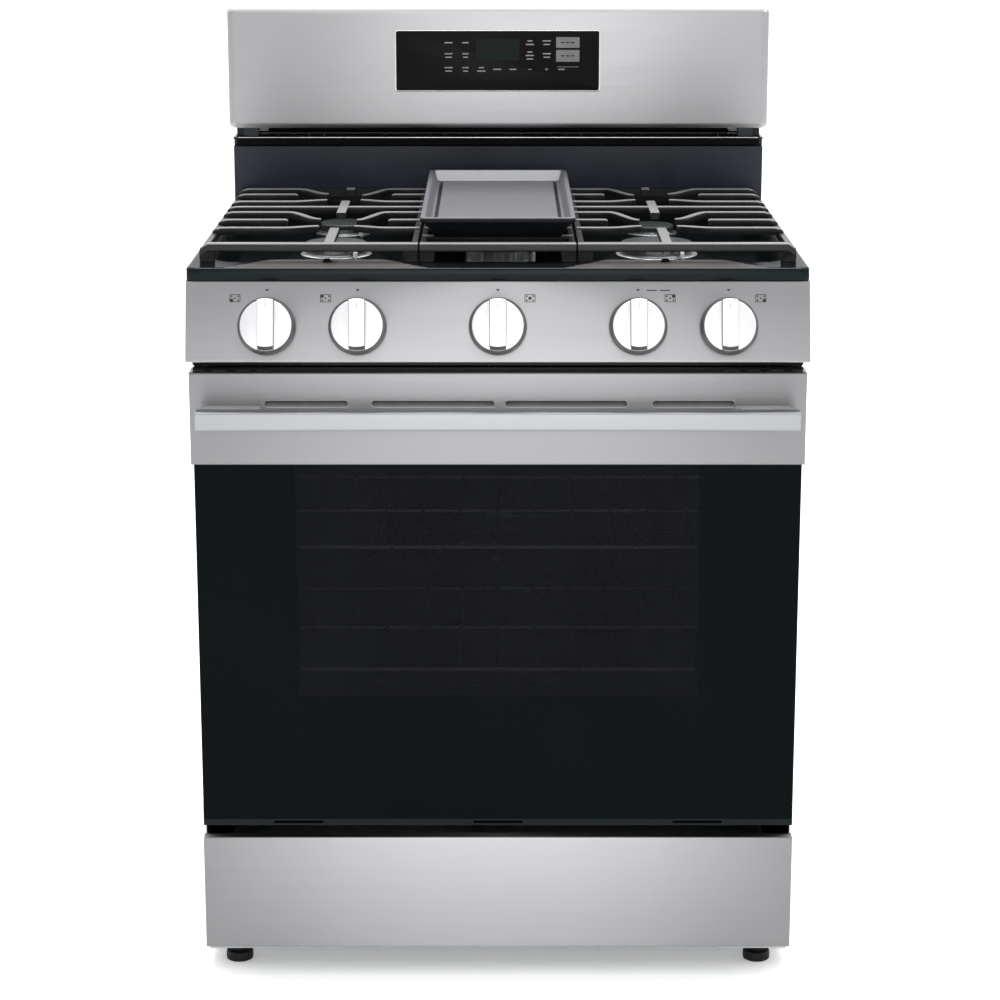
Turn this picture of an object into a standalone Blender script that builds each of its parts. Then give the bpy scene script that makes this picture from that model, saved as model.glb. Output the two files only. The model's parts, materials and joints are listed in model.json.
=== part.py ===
"""Freestanding five-burner gas range, built from its separate pieces.

Metres, +X to the right, +Y to the back, +Z up. The origin is on the floor, under the
middle of the range. Depths ("b") are distances forward from the rear plane.
"""

import math

import bmesh
import bpy
from mathutils import Matrix, Vector

# Driving dimensions of the whole range
WIDTH = 0.758
DEPTH = 0.735
HEIGHT = 1.196
GAP = 0.0003  # between pieces that touch
SHEET = 0.002  # sheet-metal gauge
HALF = WIDTH / 2
BACK_Y = DEPTH / 2

# Body
SIDE_OUTER = HALF - 0.0025
SIDE_INNER = SIDE_OUTER - SHEET
SIDE_BOTTOM = 0.0225
SIDE_FRONT = 0.628
FLANGE_FRONT = 0.6275
INNER_HALF = SIDE_INNER - GAP
BASE_TOP = 0.050
BASE_FRONT = 0.640

# Oven cavity
CAVITY_HALF = 0.305
CAVITY_FLOOR = 0.232
CAVITY_TOP = 0.765
CAVITY_BACK = 0.150
FLOOR_PLATE_Z = 0.2625
RACK_HEIGHTS = {"upper": 0.552, "lower": 0.3897}
RACK_WIRE = 0.005
FAN_Z = 0.490

# Cooktop
COOKTOP_FRONT = 0.669
COOKTOP_REAR = 0.0633
COOKTOP_TOP = 0.9192
SKIRT_BOTTOM = 0.9038
PAN_FLOOR = 0.8885
PAN_FRONT = 0.618
PAN_REAR = 0.096
PAN_HALF = 0.352
SIDE_TOP = SKIRT_BOTTOM - GAP
THROAT_RADIUS = 0.015

# Burners: x, b, cap radius, top of the cap
ROUND_BURNERS = {
    "left_front": (-0.2100, 0.427, 0.0400, 0.9170),
    "left_rear": (-0.2125, 0.175, 0.0350, 0.9070),
    "right_front": (0.2060, 0.427, 0.0470, 0.9170),
    "right_rear": (0.2125, 0.175, 0.0310, 0.9040),
}
OVAL_B = (0.215, 0.465)
OVAL_HALF = 0.040
OVAL_TOP = 0.915

# Grates and griddle
GRATE_TOP = 0.942
GRATE_REAR = 0.076
GRATE_FRONT = 0.620
GRATE_OUTER = 0.3667
GRATE_INNER = 0.0984
CENTRE_GRATE_HALF = 0.0962
BAR_WIDTH = 0.008
BAR_HEIGHT = 0.014
GRIDDLE_B = (0.097, 0.587)
GRIDDLE_HALF = 0.0965
GRIDDLE_RIM = 0.9693

# Vent riser and backguard
RISER_HALF = 0.3757
RISER_FRONT = 0.063
RISER_TOP = 1.0115
GUARD_BOTTOM = 1.0267
GUARD_FRONT = 0.095
GUARD_HALF = HALF - 0.0005
GLASS_X = (-0.143, 0.1415)
GLASS_Z = (1.0797, 1.1627)

# Control panel and knobs
PANEL_TOP_B = 0.667
PANEL_BOTTOM_B = 0.6956
PANEL_BOTTOM_Z = 0.8077
PANEL_TOP_Z = SIDE_TOP
PANEL_TILT = math.atan2(PANEL_BOTTOM_B - PANEL_TOP_B, PANEL_TOP_Z - PANEL_BOTTOM_Z)
KNOB_X = (-0.280, -0.170, 0.0, 0.170, 0.280)
KNOB_Z = 0.8494
KNOB_RADIUS = 0.0352
KNOB_FACE_RADIUS = 0.0315
KNOB_SEAT = 0.0075  # from the panel to the underside of the knob
KNOB_FACE = 0.0205
KNOB_HEIGHT = 0.0285
STEM_RADIUS = 0.004
BORE_RADIUS = 0.0045

# Door
DOOR_BACK = 0.633
DOOR_HALF = 0.3738
DOOR_BOTTOM = 0.2065
DOOR_TOP = 0.793
GLASS_BOTTOM = 0.2158
GLASS_TOP = 0.6770
GLASS_FRONT = 0.6783
BAND_FRONT = 0.6815
BAND_BACK = 0.640
BAND_HALF = 0.377
BAND_SLOTS = ((-0.285, -0.183), (-0.154, -0.004), (0.009, 0.158), (0.189, 0.289))
WINDOW_HALF = 0.250
WINDOW_Z = (0.378, 0.690)
HINGE_B = 0.655
HINGE_Z = 0.221
HINGE_X = 0.340
HANDLE_HALF = 0.365
HANDLE_B = (0.713, DEPTH)
HANDLE_Z = (0.7312, 0.7542)

# Drawer
DRAWER_FRONT = 0.6775
DRAWER_HALF = 0.3745
DRAWER_Z = (0.0402, 0.190)
TRAY_HALF = 0.345
TRAY_B = (0.150, 0.6597)
TRAY_TOP = 0.165

# Feet, gas inlet and mains inlet
FOOT_X = 0.338
FOOT_B = (0.090, 0.617)
FOOT_RADIUS = 0.0175
GAS_X = -0.250
GAS_Z = 0.120
MAINS_X = 0.250
MAINS_Z = 0.140

# Finishes: colour, roughness, metallic
FINISHES = {
    "stainless": ((0.60, 0.60, 0.61), 0.32, 1.0),
    "bright_steel": ((0.80, 0.80, 0.82), 0.25, 1.0),
    "galvanised": ((0.48, 0.50, 0.52), 0.50, 1.0),
    "black_paint": ((0.020, 0.022, 0.025), 0.45, 0.0),
    "black_enamel": ((0.012, 0.014, 0.016), 0.12, 0.0),
    "riser_enamel": ((0.022, 0.026, 0.032), 0.30, 0.0),
    "cavity_enamel": ((0.030, 0.034, 0.045), 0.25, 0.0),
    "cast_iron": ((0.060, 0.060, 0.063), 0.60, 0.0),
    "griddle_grey": ((0.27, 0.27, 0.30), 0.45, 0.3),
    "aluminium": ((0.70, 0.70, 0.71), 0.35, 1.0),
    "brass": ((0.70, 0.52, 0.22), 0.35, 1.0),
    "glass": ((0.008, 0.010, 0.012), 0.05, 0.0),
    "glass_wool": ((0.75, 0.70, 0.55), 0.95, 0.0),
    "plastic": ((0.02, 0.02, 0.02), 0.55, 0.0),
}


def clear_scene():
    for obj in list(bpy.data.objects):
        bpy.data.objects.remove(obj, do_unlink=True)


def from_back(b):
    """Y of a point that lies b in front of the rear plane."""
    return BACK_Y - b


def finished(obj, finish):
    """Give the object its own material."""
    colour, roughness, metallic = FINISHES[finish]
    material = bpy.data.materials.new(obj.name)
    material.use_nodes = True
    shader = material.node_tree.nodes["Principled BSDF"]
    shader.inputs["Base Color"].default_value = (*colour, 1.0)
    shader.inputs["Roughness"].default_value = roughness
    shader.inputs["Metallic"].default_value = metallic
    obj.data.materials.clear()
    obj.data.materials.append(material)
    return obj


def linked(name, mesh):
    obj = bpy.data.objects.new(name, mesh)
    bpy.context.scene.collection.objects.link(obj)
    return obj


def skinned(name, rings, closed=False, smooth=False):
    """Skin a row of rings, each a list of points, into one closed solid."""
    work = bmesh.new()
    loops = [[work.verts.new(point) for point in ring] for ring in rings]
    pairs = list(zip(loops, loops[1:]))
    if closed:
        pairs.append((loops[-1], loops[0]))
    else:
        work.faces.new(loops[0])
        work.faces.new(loops[-1])
    for lower, upper in pairs:
        for i, corner in enumerate(lower):
            j = (i + 1) % len(lower)
            work.faces.new((corner, lower[j], upper[j], upper[i]))
    bmesh.ops.recalc_face_normals(work, faces=work.faces)
    mesh = bpy.data.meshes.new(name)
    work.to_mesh(mesh)
    work.free()
    if smooth:
        mesh.shade_smooth()
        mesh.set_sharp_from_angle(angle=math.radians(40))
    return linked(name, mesh)


def outline(u_span, v_span, radius=0.0, steps=3):
    """Rectangle in a plane, counter-clockwise, with square or round corners."""
    (u0, u1), (v0, v1) = u_span, v_span
    if radius == 0.0:
        return [(u0, v0), (u1, v0), (u1, v1), (u0, v1)]
    centres = (
        (u1 - radius, v1 - radius),
        (u0 + radius, v1 - radius),
        (u0 + radius, v0 + radius),
        (u1 - radius, v0 + radius),
    )
    points = []
    for quarter, (u, v) in enumerate(centres):
        for step in range(steps + 1):
            angle = math.pi / 2 * (quarter + step / steps)
            points.append((u + radius * math.cos(angle), v + radius * math.sin(angle)))
    return points


def in_plan(points, z):
    """Points given as (x, b), at one height."""
    return [(x, from_back(b), z) for x, b in points]


def in_front(points, b):
    """Points given as (x, z), at one depth."""
    return [(x, from_back(b), z) for x, z in points]


def in_side(points, x):
    """Points given as (b, z), at one distance to the side."""
    return [(x, from_back(b), z) for b, z in points]


def block(name, x_span, b_span, z_span):
    flat = outline(x_span, b_span)
    return skinned(name, [in_plan(flat, z_span[0]), in_plan(flat, z_span[1])])


def extruded(name, profile, x_span):
    """A (b, z) profile run along X."""
    return skinned(name, [in_side(profile, x_span[0]), in_side(profile, x_span[1])])


def turned(name, profile, segments=24):
    """A (radius, height) profile turned about local Z."""
    rings = []
    for radius, height in profile:
        ring = []
        for step in range(segments):
            angle = 2 * math.pi * step / segments
            ring.append((radius * math.cos(angle), radius * math.sin(angle), height))
        rings.append(ring)
    return skinned(name, rings, smooth=True)


def placed(obj, x, b, z, tilt=0.0):
    """Move a piece made at its own origin, after tilting it about X."""
    obj.location = (x, from_back(b), z)
    obj.rotation_euler = (tilt, 0.0, 0.0)
    return obj


def combined(obj, tools, operation):
    """Boolean of obj with its tools, which stay as hidden guides."""
    group = bpy.data.collections.new(f"{obj.name}_{operation.lower()}")
    bpy.context.scene.collection.children.link(group)
    for tool in tools:
        bpy.context.scene.collection.objects.unlink(tool)
        group.objects.link(tool)
        tool.hide_render = True
        tool.display_type = "WIRE"
    modifier = obj.modifiers.new(operation.title(), "BOOLEAN")
    modifier.operation = operation
    modifier.solver = "EXACT"
    modifier.operand_type = "COLLECTION"
    modifier.collection = group
    return obj


def cut(obj, *tools):
    return combined(obj, tools, "DIFFERENCE")


def joined(obj, *tools):
    return combined(obj, tools, "UNION")


def pivot(name, x, b, z, tilt=0.0):
    """Empty on a joint's axis."""
    empty = bpy.data.objects.new(name, None)
    bpy.context.scene.collection.objects.link(empty)
    return placed(empty, x, b, z, tilt)


def hung(obj, empty):
    """Parent a piece to its joint's empty and leave it where it is."""
    place = Matrix.LocRotScale(empty.location, empty.rotation_euler, None)
    obj.parent = empty
    obj.matrix_parent_inverse = place.inverted()
    return obj


def panel_point(x, height):
    """Place on the knob axis at x, at a height above the slanted control panel."""
    run = (PANEL_TOP_Z - KNOB_Z) * math.tan(PANEL_TILT)
    b = PANEL_TOP_B + run + height * math.cos(PANEL_TILT)
    return x, b, KNOB_Z + height * math.sin(PANEL_TILT)


KNOB_TURN = math.pi / 2 - PANEL_TILT  # tilts local +Z to the panel's outward normal


# ---------------------------------------------------------------- body


def make_base_frame():
    """Folded channel that runs round the bottom of the body, open underneath."""
    outer = outline((-INNER_HALF, INNER_HALF), (0.0065, BASE_FRONT))
    outer_wall = outline((-INNER_HALF + SHEET, INNER_HALF - SHEET), (0.0065 + SHEET, BASE_FRONT - SHEET))
    well = outline((-0.305, 0.305), (0.130, 0.580))
    well_wall = outline((-0.305 - SHEET, 0.305 + SHEET), (0.130 - SHEET, 0.580 + SHEET))
    rings = [
        in_plan(outer, SIDE_BOTTOM),
        in_plan(outer, BASE_TOP),
        in_plan(well, BASE_TOP),
        in_plan(well, SIDE_BOTTOM),
        in_plan(well_wall, SIDE_BOTTOM),
        in_plan(well_wall, BASE_TOP - SHEET),
        in_plan(outer_wall, BASE_TOP - SHEET),
        in_plan(outer_wall, SIDE_BOTTOM),
    ]
    finished(skinned("base_frame", rings, closed=True), "galvanised")


def make_side_panels():
    for name, side in (("left", -1), ("right", 1)):
        span = sorted((side * SIDE_INNER, side * SIDE_OUTER))
        panel = block(f"side_panel_{name}", span, (0.004, SIDE_FRONT), (SIDE_BOTTOM, SIDE_TOP))
        finished(panel, "black_paint")


def make_back_panel():
    panel = block("back_panel", (-INNER_HALF, INNER_HALF), (0.004, 0.006), (0.060, SIDE_TOP))
    gas_hole = block("gas_hole", (GAS_X - 0.035, GAS_X + 0.035), (0.0, 0.01), (GAS_Z - 0.035, GAS_Z + 0.035))
    mains_hole = placed(turned("mains_hole", [(0.0112, -0.01), (0.0112, 0.01)]), MAINS_X, 0.005, MAINS_Z, math.pi / 2)
    finished(cut(panel, gas_hole, mains_hole), "galvanised")


def make_oven_liner():
    """Enamelled box, open in front, with a flange round its mouth and ledges for the racks."""
    wall = CAVITY_HALF + SHEET
    inside = outline((-CAVITY_HALF, CAVITY_HALF), (CAVITY_FLOOR, CAVITY_TOP), 0.020)
    outside = outline((-wall, wall), (CAVITY_FLOOR - SHEET, CAVITY_TOP + SHEET), 0.022)
    flange = outline((-INNER_HALF, INNER_HALF), (0.1945, 0.800), 0.002)
    back = FLANGE_FRONT - SHEET
    rings = [
        in_front(inside, CAVITY_BACK),
        in_front(inside, FLANGE_FRONT),
        in_front(flange, FLANGE_FRONT),
        in_front(flange, back),
        in_front(outside, back),
        in_front(outside, CAVITY_BACK - SHEET),
    ]
    liner = skinned("oven_liner", rings)
    ledges = []
    for name, height in RACK_HEIGHTS.items():
        top = height - RACK_WIRE / 2 - GAP
        for side in (-1, 1):
            span = sorted((side * 0.2970, side * (CAVITY_HALF + SHEET / 2)))
            ledges.append(block(f"ledge_{name}_{side}", span, (0.170, 0.612), (top - 0.006, top)))
    joined(liner, *ledges)
    shaft_hole = placed(turned("shaft_hole", [(0.008, -0.02), (0.008, 0.02)]), 0.0, CAVITY_BACK, FAN_Z, math.pi / 2)
    finished(cut(liner, shaft_hole), "cavity_enamel")


def make_oven_insulation():
    """Glass-wool jacket round the liner, open at the front and at the fan's shaft."""
    wall = CAVITY_HALF + SHEET + GAP
    inside = outline((-wall, wall), (CAVITY_FLOOR - SHEET - GAP, CAVITY_TOP + SHEET + GAP), 0.022)
    outside = outline((-0.342, 0.342), (0.202, 0.797), 0.030)
    front = FLANGE_FRONT - SHEET - GAP
    rings = [
        in_front(inside, CAVITY_BACK - SHEET - GAP),
        in_front(inside, front),
        in_front(outside, front),
        in_front(outside, 0.120),
    ]
    jacket = skinned("oven_insulation", rings)
    shaft_hole = placed(turned("jacket_hole", [(0.010, -0.04), (0.010, 0.04)]), 0.0, 0.135, FAN_Z, math.pi / 2)
    finished(cut(jacket, shaft_hole), "glass_wool")


def make_oven_floor():
    plate = block("oven_floor", (-0.303, 0.303), (0.155, 0.614), (FLOOR_PLATE_Z, FLOOR_PLATE_Z + SHEET))
    slots = []
    for side in (-1, 1):
        for row in range(4):
            start = 0.200 + 0.095 * row
            span = sorted((side * 0.270, side * 0.282))
            slots.append(block(f"heat_slot_{side}_{row}", span, (start, start + 0.070), (0.25, 0.28)))
    finished(cut(plate, *slots), "cavity_enamel")


def make_oven_burners():
    """Bake tube under the floor plate, and a broil box under the roof, open underneath."""
    bake = placed(turned("bake_burner", [(0.009, 0.0), (0.009, 0.420)], 12), 0.0, 0.160, 0.246, math.pi / 2)
    finished(bake, "galvanised")
    inner = outline((-0.083, 0.083), (0.172, 0.558))
    outer = outline((-0.085, 0.085), (0.170, 0.560))
    rings = [in_plan(inner, 0.762), in_plan(inner, 0.740), in_plan(outer, 0.740), in_plan(outer, 0.764)]
    finished(skinned("broil_burner", rings), "galvanised")


def make_fan():
    """Fan wheel on the oven's back wall, on a shaft through it, and its slotted cover."""
    outer = outline((-0.115, 0.115), (FAN_Z - 0.115, FAN_Z + 0.115), 0.030)
    inner = outline((-0.113, 0.113), (FAN_Z - 0.113, FAN_Z + 0.113), 0.028)
    foot = CAVITY_BACK + GAP
    rings = [in_front(inner, 0.186), in_front(inner, foot), in_front(outer, foot), in_front(outer, 0.188)]
    cover = skinned("fan_cover", rings)
    slots = []
    for row in range(-3, 4):
        height = FAN_Z + 0.022 * row
        reach = math.sqrt(0.085**2 - (0.022 * row) ** 2)
        slots.append(block(f"air_slot_{row}", (-reach, reach), (0.18, 0.2), (height - 0.005, height + 0.005)))
    finished(cut(cover, *slots), "cavity_enamel")

    wheel = placed(turned("convection_fan", [(0.005, -0.034), (0.005, 0.0), (0.018, 0.0), (0.018, 0.022)], 16),
                   0.0, 0.157, FAN_Z, math.pi / 2)
    blades = []
    for step in range(8):
        blade = block(f"fan_blade_{step}", (0.010, 0.078), (BACK_Y - 0.001, BACK_Y + 0.001), (0.002, 0.018))
        turn = Matrix.Rotation(2 * math.pi * step / 8, 4, "Z")
        lean = Matrix.Rotation(math.radians(18), 4, "X")
        upright = Matrix.LocRotScale(wheel.location, wheel.rotation_euler, None)
        blade.matrix_world = upright @ turn @ lean
        blades.append(blade)
    finished(joined(wheel, *blades), "galvanised")


def make_inlets():
    """Gas regulator with its inlet, and the mains gland, both at the back."""
    profile = [(0.028, 0.0), (0.028, 0.045), (0.0135, 0.050), (0.0135, 0.1035)]
    regulator = placed(turned("gas_inlet", profile), GAS_X, 0.105, GAS_Z, -math.pi / 2)
    mouth = placed(turned("inlet_mouth", [(0.009, -0.015), (0.009, 0.010)]), GAS_X, 0.0015, GAS_Z, -math.pi / 2)
    finished(cut(regulator, mouth), "brass")

    profile = [(0.0105, 0.0), (0.0105, 0.0185), (0.016, 0.0185), (0.016, 0.0220)]
    gland = placed(turned("mains_inlet", profile), MAINS_X, 0.022, MAINS_Z, -math.pi / 2)
    mouth = placed(turned("gland_mouth", [(0.0045, -0.012), (0.0045, 0.010)], 16), MAINS_X, 0.0, MAINS_Z, -math.pi / 2)
    finished(cut(gland, mouth), "plastic")


def make_feet():
    profile = [(FOOT_RADIUS - 0.003, 0.0), (FOOT_RADIUS, 0.004), (FOOT_RADIUS, 0.012), (0.006, 0.013),
               (0.006, BASE_TOP - SHEET - GAP)]
    for row, b in zip(("rear", "front"), FOOT_B):
        for side, x in (("left", -FOOT_X), ("right", FOOT_X)):
            finished(placed(turned(f"foot_{row}_{side}", profile), x, b, 0.0), "plastic")


# ---------------------------------------------------------------- cooktop


def make_cooktop():
    """Pressed pan with a ledge all round and a skirt, pierced for the five burners."""
    outer = outline((-HALF, HALF), (COOKTOP_REAR, COOKTOP_FRONT), 0.006)
    skirt = outline((-HALF + SHEET, HALF - SHEET), (COOKTOP_REAR + SHEET, COOKTOP_FRONT - SHEET), 0.004)
    mouth = outline((-PAN_HALF, PAN_HALF), (PAN_REAR, PAN_FRONT), 0.020)
    floor = outline((-PAN_HALF + 0.006, PAN_HALF - 0.006), (PAN_REAR + 0.006, PAN_FRONT - 0.006), 0.016)
    wall = outline((-PAN_HALF - SHEET, PAN_HALF + SHEET), (PAN_REAR - SHEET, PAN_FRONT + SHEET), 0.022)
    rings = [
        in_plan(floor, PAN_FLOOR),
        in_plan(mouth, COOKTOP_TOP),
        in_plan(outer, COOKTOP_TOP),
        in_plan(outer, SKIRT_BOTTOM),
        in_plan(skirt, SKIRT_BOTTOM),
        in_plan(skirt, COOKTOP_TOP - SHEET),
        in_plan(wall, COOKTOP_TOP - SHEET),
        in_plan(wall, PAN_FLOOR - SHEET),
    ]
    pan = skinned("cooktop", rings)
    throats = []
    for name, (x, b, _, _) in ROUND_BURNERS.items():
        throat = turned(f"throat_{name}", [(THROAT_RADIUS + 0.001, -0.01), (THROAT_RADIUS + 0.001, 0.01)])
        throats.append(placed(throat, x, b, PAN_FLOOR))
    throat = turned("throat_centre", [(THROAT_RADIUS + 0.001, -0.01), (THROAT_RADIUS + 0.001, 0.01)])
    throats.append(placed(throat, 0.0, sum(OVAL_B) / 2, PAN_FLOOR))
    finished(cut(pan, *throats), "black_enamel")


def make_round_burners():
    """Aluminium base with a throat through the pan, and an enamelled cap on its crown."""
    for name, (x, b, radius, top) in ROUND_BURNERS.items():
        crown = top - 0.008
        profile = [
            (THROAT_RADIUS, PAN_FLOOR - 0.025),
            (THROAT_RADIUS, PAN_FLOOR + GAP),
            (radius + 0.010, PAN_FLOOR + GAP),
            (radius + 0.010, PAN_FLOOR + 0.004),
            (radius + 0.001, PAN_FLOOR + 0.006),
            (radius + 0.001, crown),
        ]
        finished(placed(turned(f"burner_base_{name}", profile), x, b, 0.0), "aluminium")
        profile = [(radius, crown + GAP), (radius, top - 0.0025), (radius - 0.004, top)]
        finished(placed(turned(f"burner_cap_{name}", profile), x, b, 0.0), "cast_iron")


def make_oval_burner():
    centre = sum(OVAL_B) / 2
    crown = OVAL_TOP - 0.008
    crown_line = outline((-OVAL_HALF, OVAL_HALF), OVAL_B, OVAL_HALF - 0.0005, 6)
    rings = [in_plan(crown_line, PAN_FLOOR + GAP), in_plan(crown_line, crown)]
    base = skinned("burner_base_centre", rings, smooth=True)
    stem = turned("centre_stem", [(THROAT_RADIUS, PAN_FLOOR - 0.025), (THROAT_RADIUS, PAN_FLOOR + 0.005)])
    finished(joined(base, placed(stem, 0.0, centre, 0.0)), "aluminium")
    cap_line = outline((-OVAL_HALF + 0.003, OVAL_HALF - 0.003), (OVAL_B[0] + 0.003, OVAL_B[1] - 0.003),
                       OVAL_HALF - 0.0035, 6)
    rings = [in_plan(cap_line, crown + GAP), in_plan(cap_line, OVAL_TOP)]
    finished(skinned("burner_cap_centre", rings, smooth=True), "cast_iron")


def bar(name, path, z_span, width=BAR_WIDTH):
    """Cast bar that follows a plan path of (x, b) points."""
    points = [Vector(point) for point in path]
    rings = []
    for i, point in enumerate(points):
        ahead = points[min(i + 1, len(points) - 1)]
        behind = points[max(i - 1, 0)]
        along = (ahead - behind).normalized()
        across = Vector((-along.y, along.x)) * width / 2
        left = point + across
        right = point - across
        bottom, top = z_span
        corners = ((left, bottom), (right, bottom), (right, top), (left, top))
        rings.append([(corner.x, from_back(corner.y), z) for corner, z in corners])
    return skinned(name, rings)


def finger_path(start_x, bend_x, b, tip):
    """Straight from a side rail, then an eased bend to the tip beside the burner."""
    path = [(start_x, b)]
    steps = 5
    for step in range(steps + 1):
        t = step / steps
        ease = t * t * (3 - 2 * t)
        path.append((bend_x + (tip[0] - bend_x) * t, b + (tip[1] - b) * ease))
    return path


def grate_frame(name, x_span):
    """Side rails, front bar and six legs, as a list of overlapping pieces."""
    x0, x1 = x_span
    rail = 0.009
    foot = COOKTOP_TOP + GAP
    low, top = GRATE_TOP - 0.017, GRATE_TOP - 0.003
    pieces = [
        block(f"{name}_rail_0", (x0, x0 + rail), (GRATE_REAR, GRATE_FRONT - 0.001), (low, top)),
        block(f"{name}_rail_1", (x1 - rail, x1), (GRATE_REAR, GRATE_FRONT - 0.001), (low, top)),
    ]
    for row, b_span in enumerate(((GRATE_REAR, GRATE_REAR + 0.014), (GRATE_FRONT - 0.014, GRATE_FRONT - 0.0005))):
        shelf = (b_span[0], b_span[1]) if row == 0 else (PAN_FRONT + GAP - 0.012, b_span[1])
        for end, span in enumerate(((x0 + 0.0002, x0 + 0.018), (x1 - 0.018, x1 - 0.0002))):
            pieces.append(block(f"{name}_leg_{row}_{end}", span, shelf, (foot, GRATE_TOP - 0.005)))
    return pieces


def make_side_grate(name, side):
    """Five-bar pot support with curved fingers round the front and rear burners."""
    outer, inner = side * GRATE_OUTER, side * GRATE_INNER
    span = tuple(sorted((outer, inner)))
    z_span = (GRATE_TOP - BAR_HEIGHT, GRATE_TOP)
    edge_out, edge_in = outer - side * 0.002, inner + side * 0.002
    fingers = (
        (GRATE_REAR + 0.004, 0.2812, (0.2375, 0.1352), 0.1517, (0.1889, 0.1469)),
        (0.2238, 0.2800, (0.2357, 0.1984), 0.1510, (0.1886, 0.1984)),
        (0.3312, 0.2780, (0.2324, 0.3880), 0.1480, (0.1842, 0.3958)),
        (0.4763, 0.2750, (0.2307, 0.4528), 0.1430, (0.1843, 0.4528)),
    )
    front = block(f"grate_{name}", span, (0.605, GRATE_FRONT), (GRATE_TOP - 0.0095, GRATE_TOP))
    pieces = grate_frame(f"grate_{name}", span)
    for row, (b, bend_out, tip_out, bend_in, tip_in) in enumerate(fingers):
        path = finger_path(edge_out, side * bend_out, b, (side * tip_out[0], tip_out[1]))
        pieces.append(bar(f"{name}_outer_finger_{row}", path, z_span))
        path = finger_path(edge_in, side * bend_in, b, (side * tip_in[0], tip_in[1]))
        pieces.append(bar(f"{name}_inner_finger_{row}", path, z_span))
    for row, (b, end_out, end_in) in enumerate(((0.1498, 0.279, 0.148), (0.4027, 0.274, 0.143))):
        pieces.append(bar(f"{name}_outer_stub_{row}", [(edge_out, b), (side * end_out, b)], z_span))
        pieces.append(bar(f"{name}_inner_stub_{row}", [(edge_in, b), (side * end_in, b)], z_span))
    pieces.append(bar(f"{name}_middle_bar", [(edge_out, 0.2784), (edge_in, 0.2784)], z_span))
    centre = side * 0.210
    for row, (b0, b1) in enumerate(((0.221, 0.336), (0.481, 0.610))):
        low_top = (z_span[0] + 0.001, z_span[1] - 0.0002)
        pieces.append(bar(f"{name}_tongue_{row}", [(centre, b0), (centre, b1)], low_top, 0.012))
    grate = joined(front, *pieces)
    lift = pivot(f"grate_{name}_lift", (outer + inner) / 2, 0.348, GRATE_TOP)
    hung(finished(grate, "cast_iron"), lift)


def make_centre_grate():
    span = (-CENTRE_GRATE_HALF, CENTRE_GRATE_HALF)
    z_span = (GRATE_TOP - BAR_HEIGHT, GRATE_TOP)
    front = block("grate_centre", span, (0.605, GRATE_FRONT), (GRATE_TOP - 0.0095, GRATE_TOP))
    pieces = grate_frame("grate_centre", span)
    edge = CENTRE_GRATE_HALF - 0.002
    for row, b in enumerate((GRATE_REAR + 0.004, 0.1498, 0.2238, 0.2784, 0.3312, 0.4027, 0.4763, 0.545)):
        pieces.append(bar(f"centre_bar_{row}", [(-edge, b), (edge, b)], z_span))
    grate = joined(front, *pieces)
    lift = pivot("grate_centre_lift", 0.0, 0.348, GRATE_TOP)
    hung(finished(grate, "cast_iron"), lift)


def make_griddle():
    """Cast tray with a lip all round and sloping walls, resting on the centre grate."""
    bottom = GRATE_TOP + GAP
    floor = GRATE_TOP + 0.013

    def inset(distance):
        x_span = (-GRIDDLE_HALF + distance, GRIDDLE_HALF - distance)
        b_span = (GRIDDLE_B[0] + distance, GRIDDLE_B[1] - distance)
        return outline(x_span, b_span, 0.008)

    rings = [
        in_plan(inset(0.018), bottom),
        in_plan(inset(0.007), GRIDDLE_RIM - 0.009),
        in_plan(inset(0.0), GRIDDLE_RIM - 0.006),
        in_plan(inset(0.0), GRIDDLE_RIM),
        in_plan(inset(0.006), GRIDDLE_RIM),
        in_plan(inset(0.011), floor + 0.002),
        in_plan(inset(0.016), floor),
    ]
    lift = pivot("griddle_lift", 0.0, sum(GRIDDLE_B) / 2, bottom)
    hung(finished(skinned("griddle", rings), "griddle_grey"), lift)


# ---------------------------------------------------------------- backguard


def make_vent_riser():
    """Enamelled riser with the oven vent along its top, behind a rolled lip."""
    profile = [
        (0.0030, SKIRT_BOTTOM),
        (RISER_FRONT, SKIRT_BOTTOM),
        (RISER_FRONT, 0.9980),
        (0.0540, 1.0000),
        (0.0540, 1.0085),
        (0.0665, 1.0085),
        (0.0665, RISER_TOP),
        (0.0030, RISER_TOP),
    ]
    riser = extruded("vent_riser", profile, (-RISER_HALF, RISER_HALF))
    inner = RISER_HALF - SHEET
    posts = []
    for side in (-1, 1):
        span = sorted((side * 0.340, side * 0.362))
        posts.append(block(f"vent_post_{side}", span, (0.020, 0.058), (RISER_TOP - 0.001, GUARD_BOTTOM - GAP)))
    joined(riser, *posts)
    hollow = block("riser_hollow", (-inner, inner), (0.005, 0.052), (0.88, 1.0095))
    front_hollow = block("riser_front_hollow", (-inner, inner), (0.045, RISER_FRONT - SHEET), (0.88, 0.996))
    vent = block("vent_mouth", (-0.330, 0.330), (0.012, 0.048), (1.0, 1.02))
    finished(cut(riser, hollow, front_hollow, vent), "riser_enamel")


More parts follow.
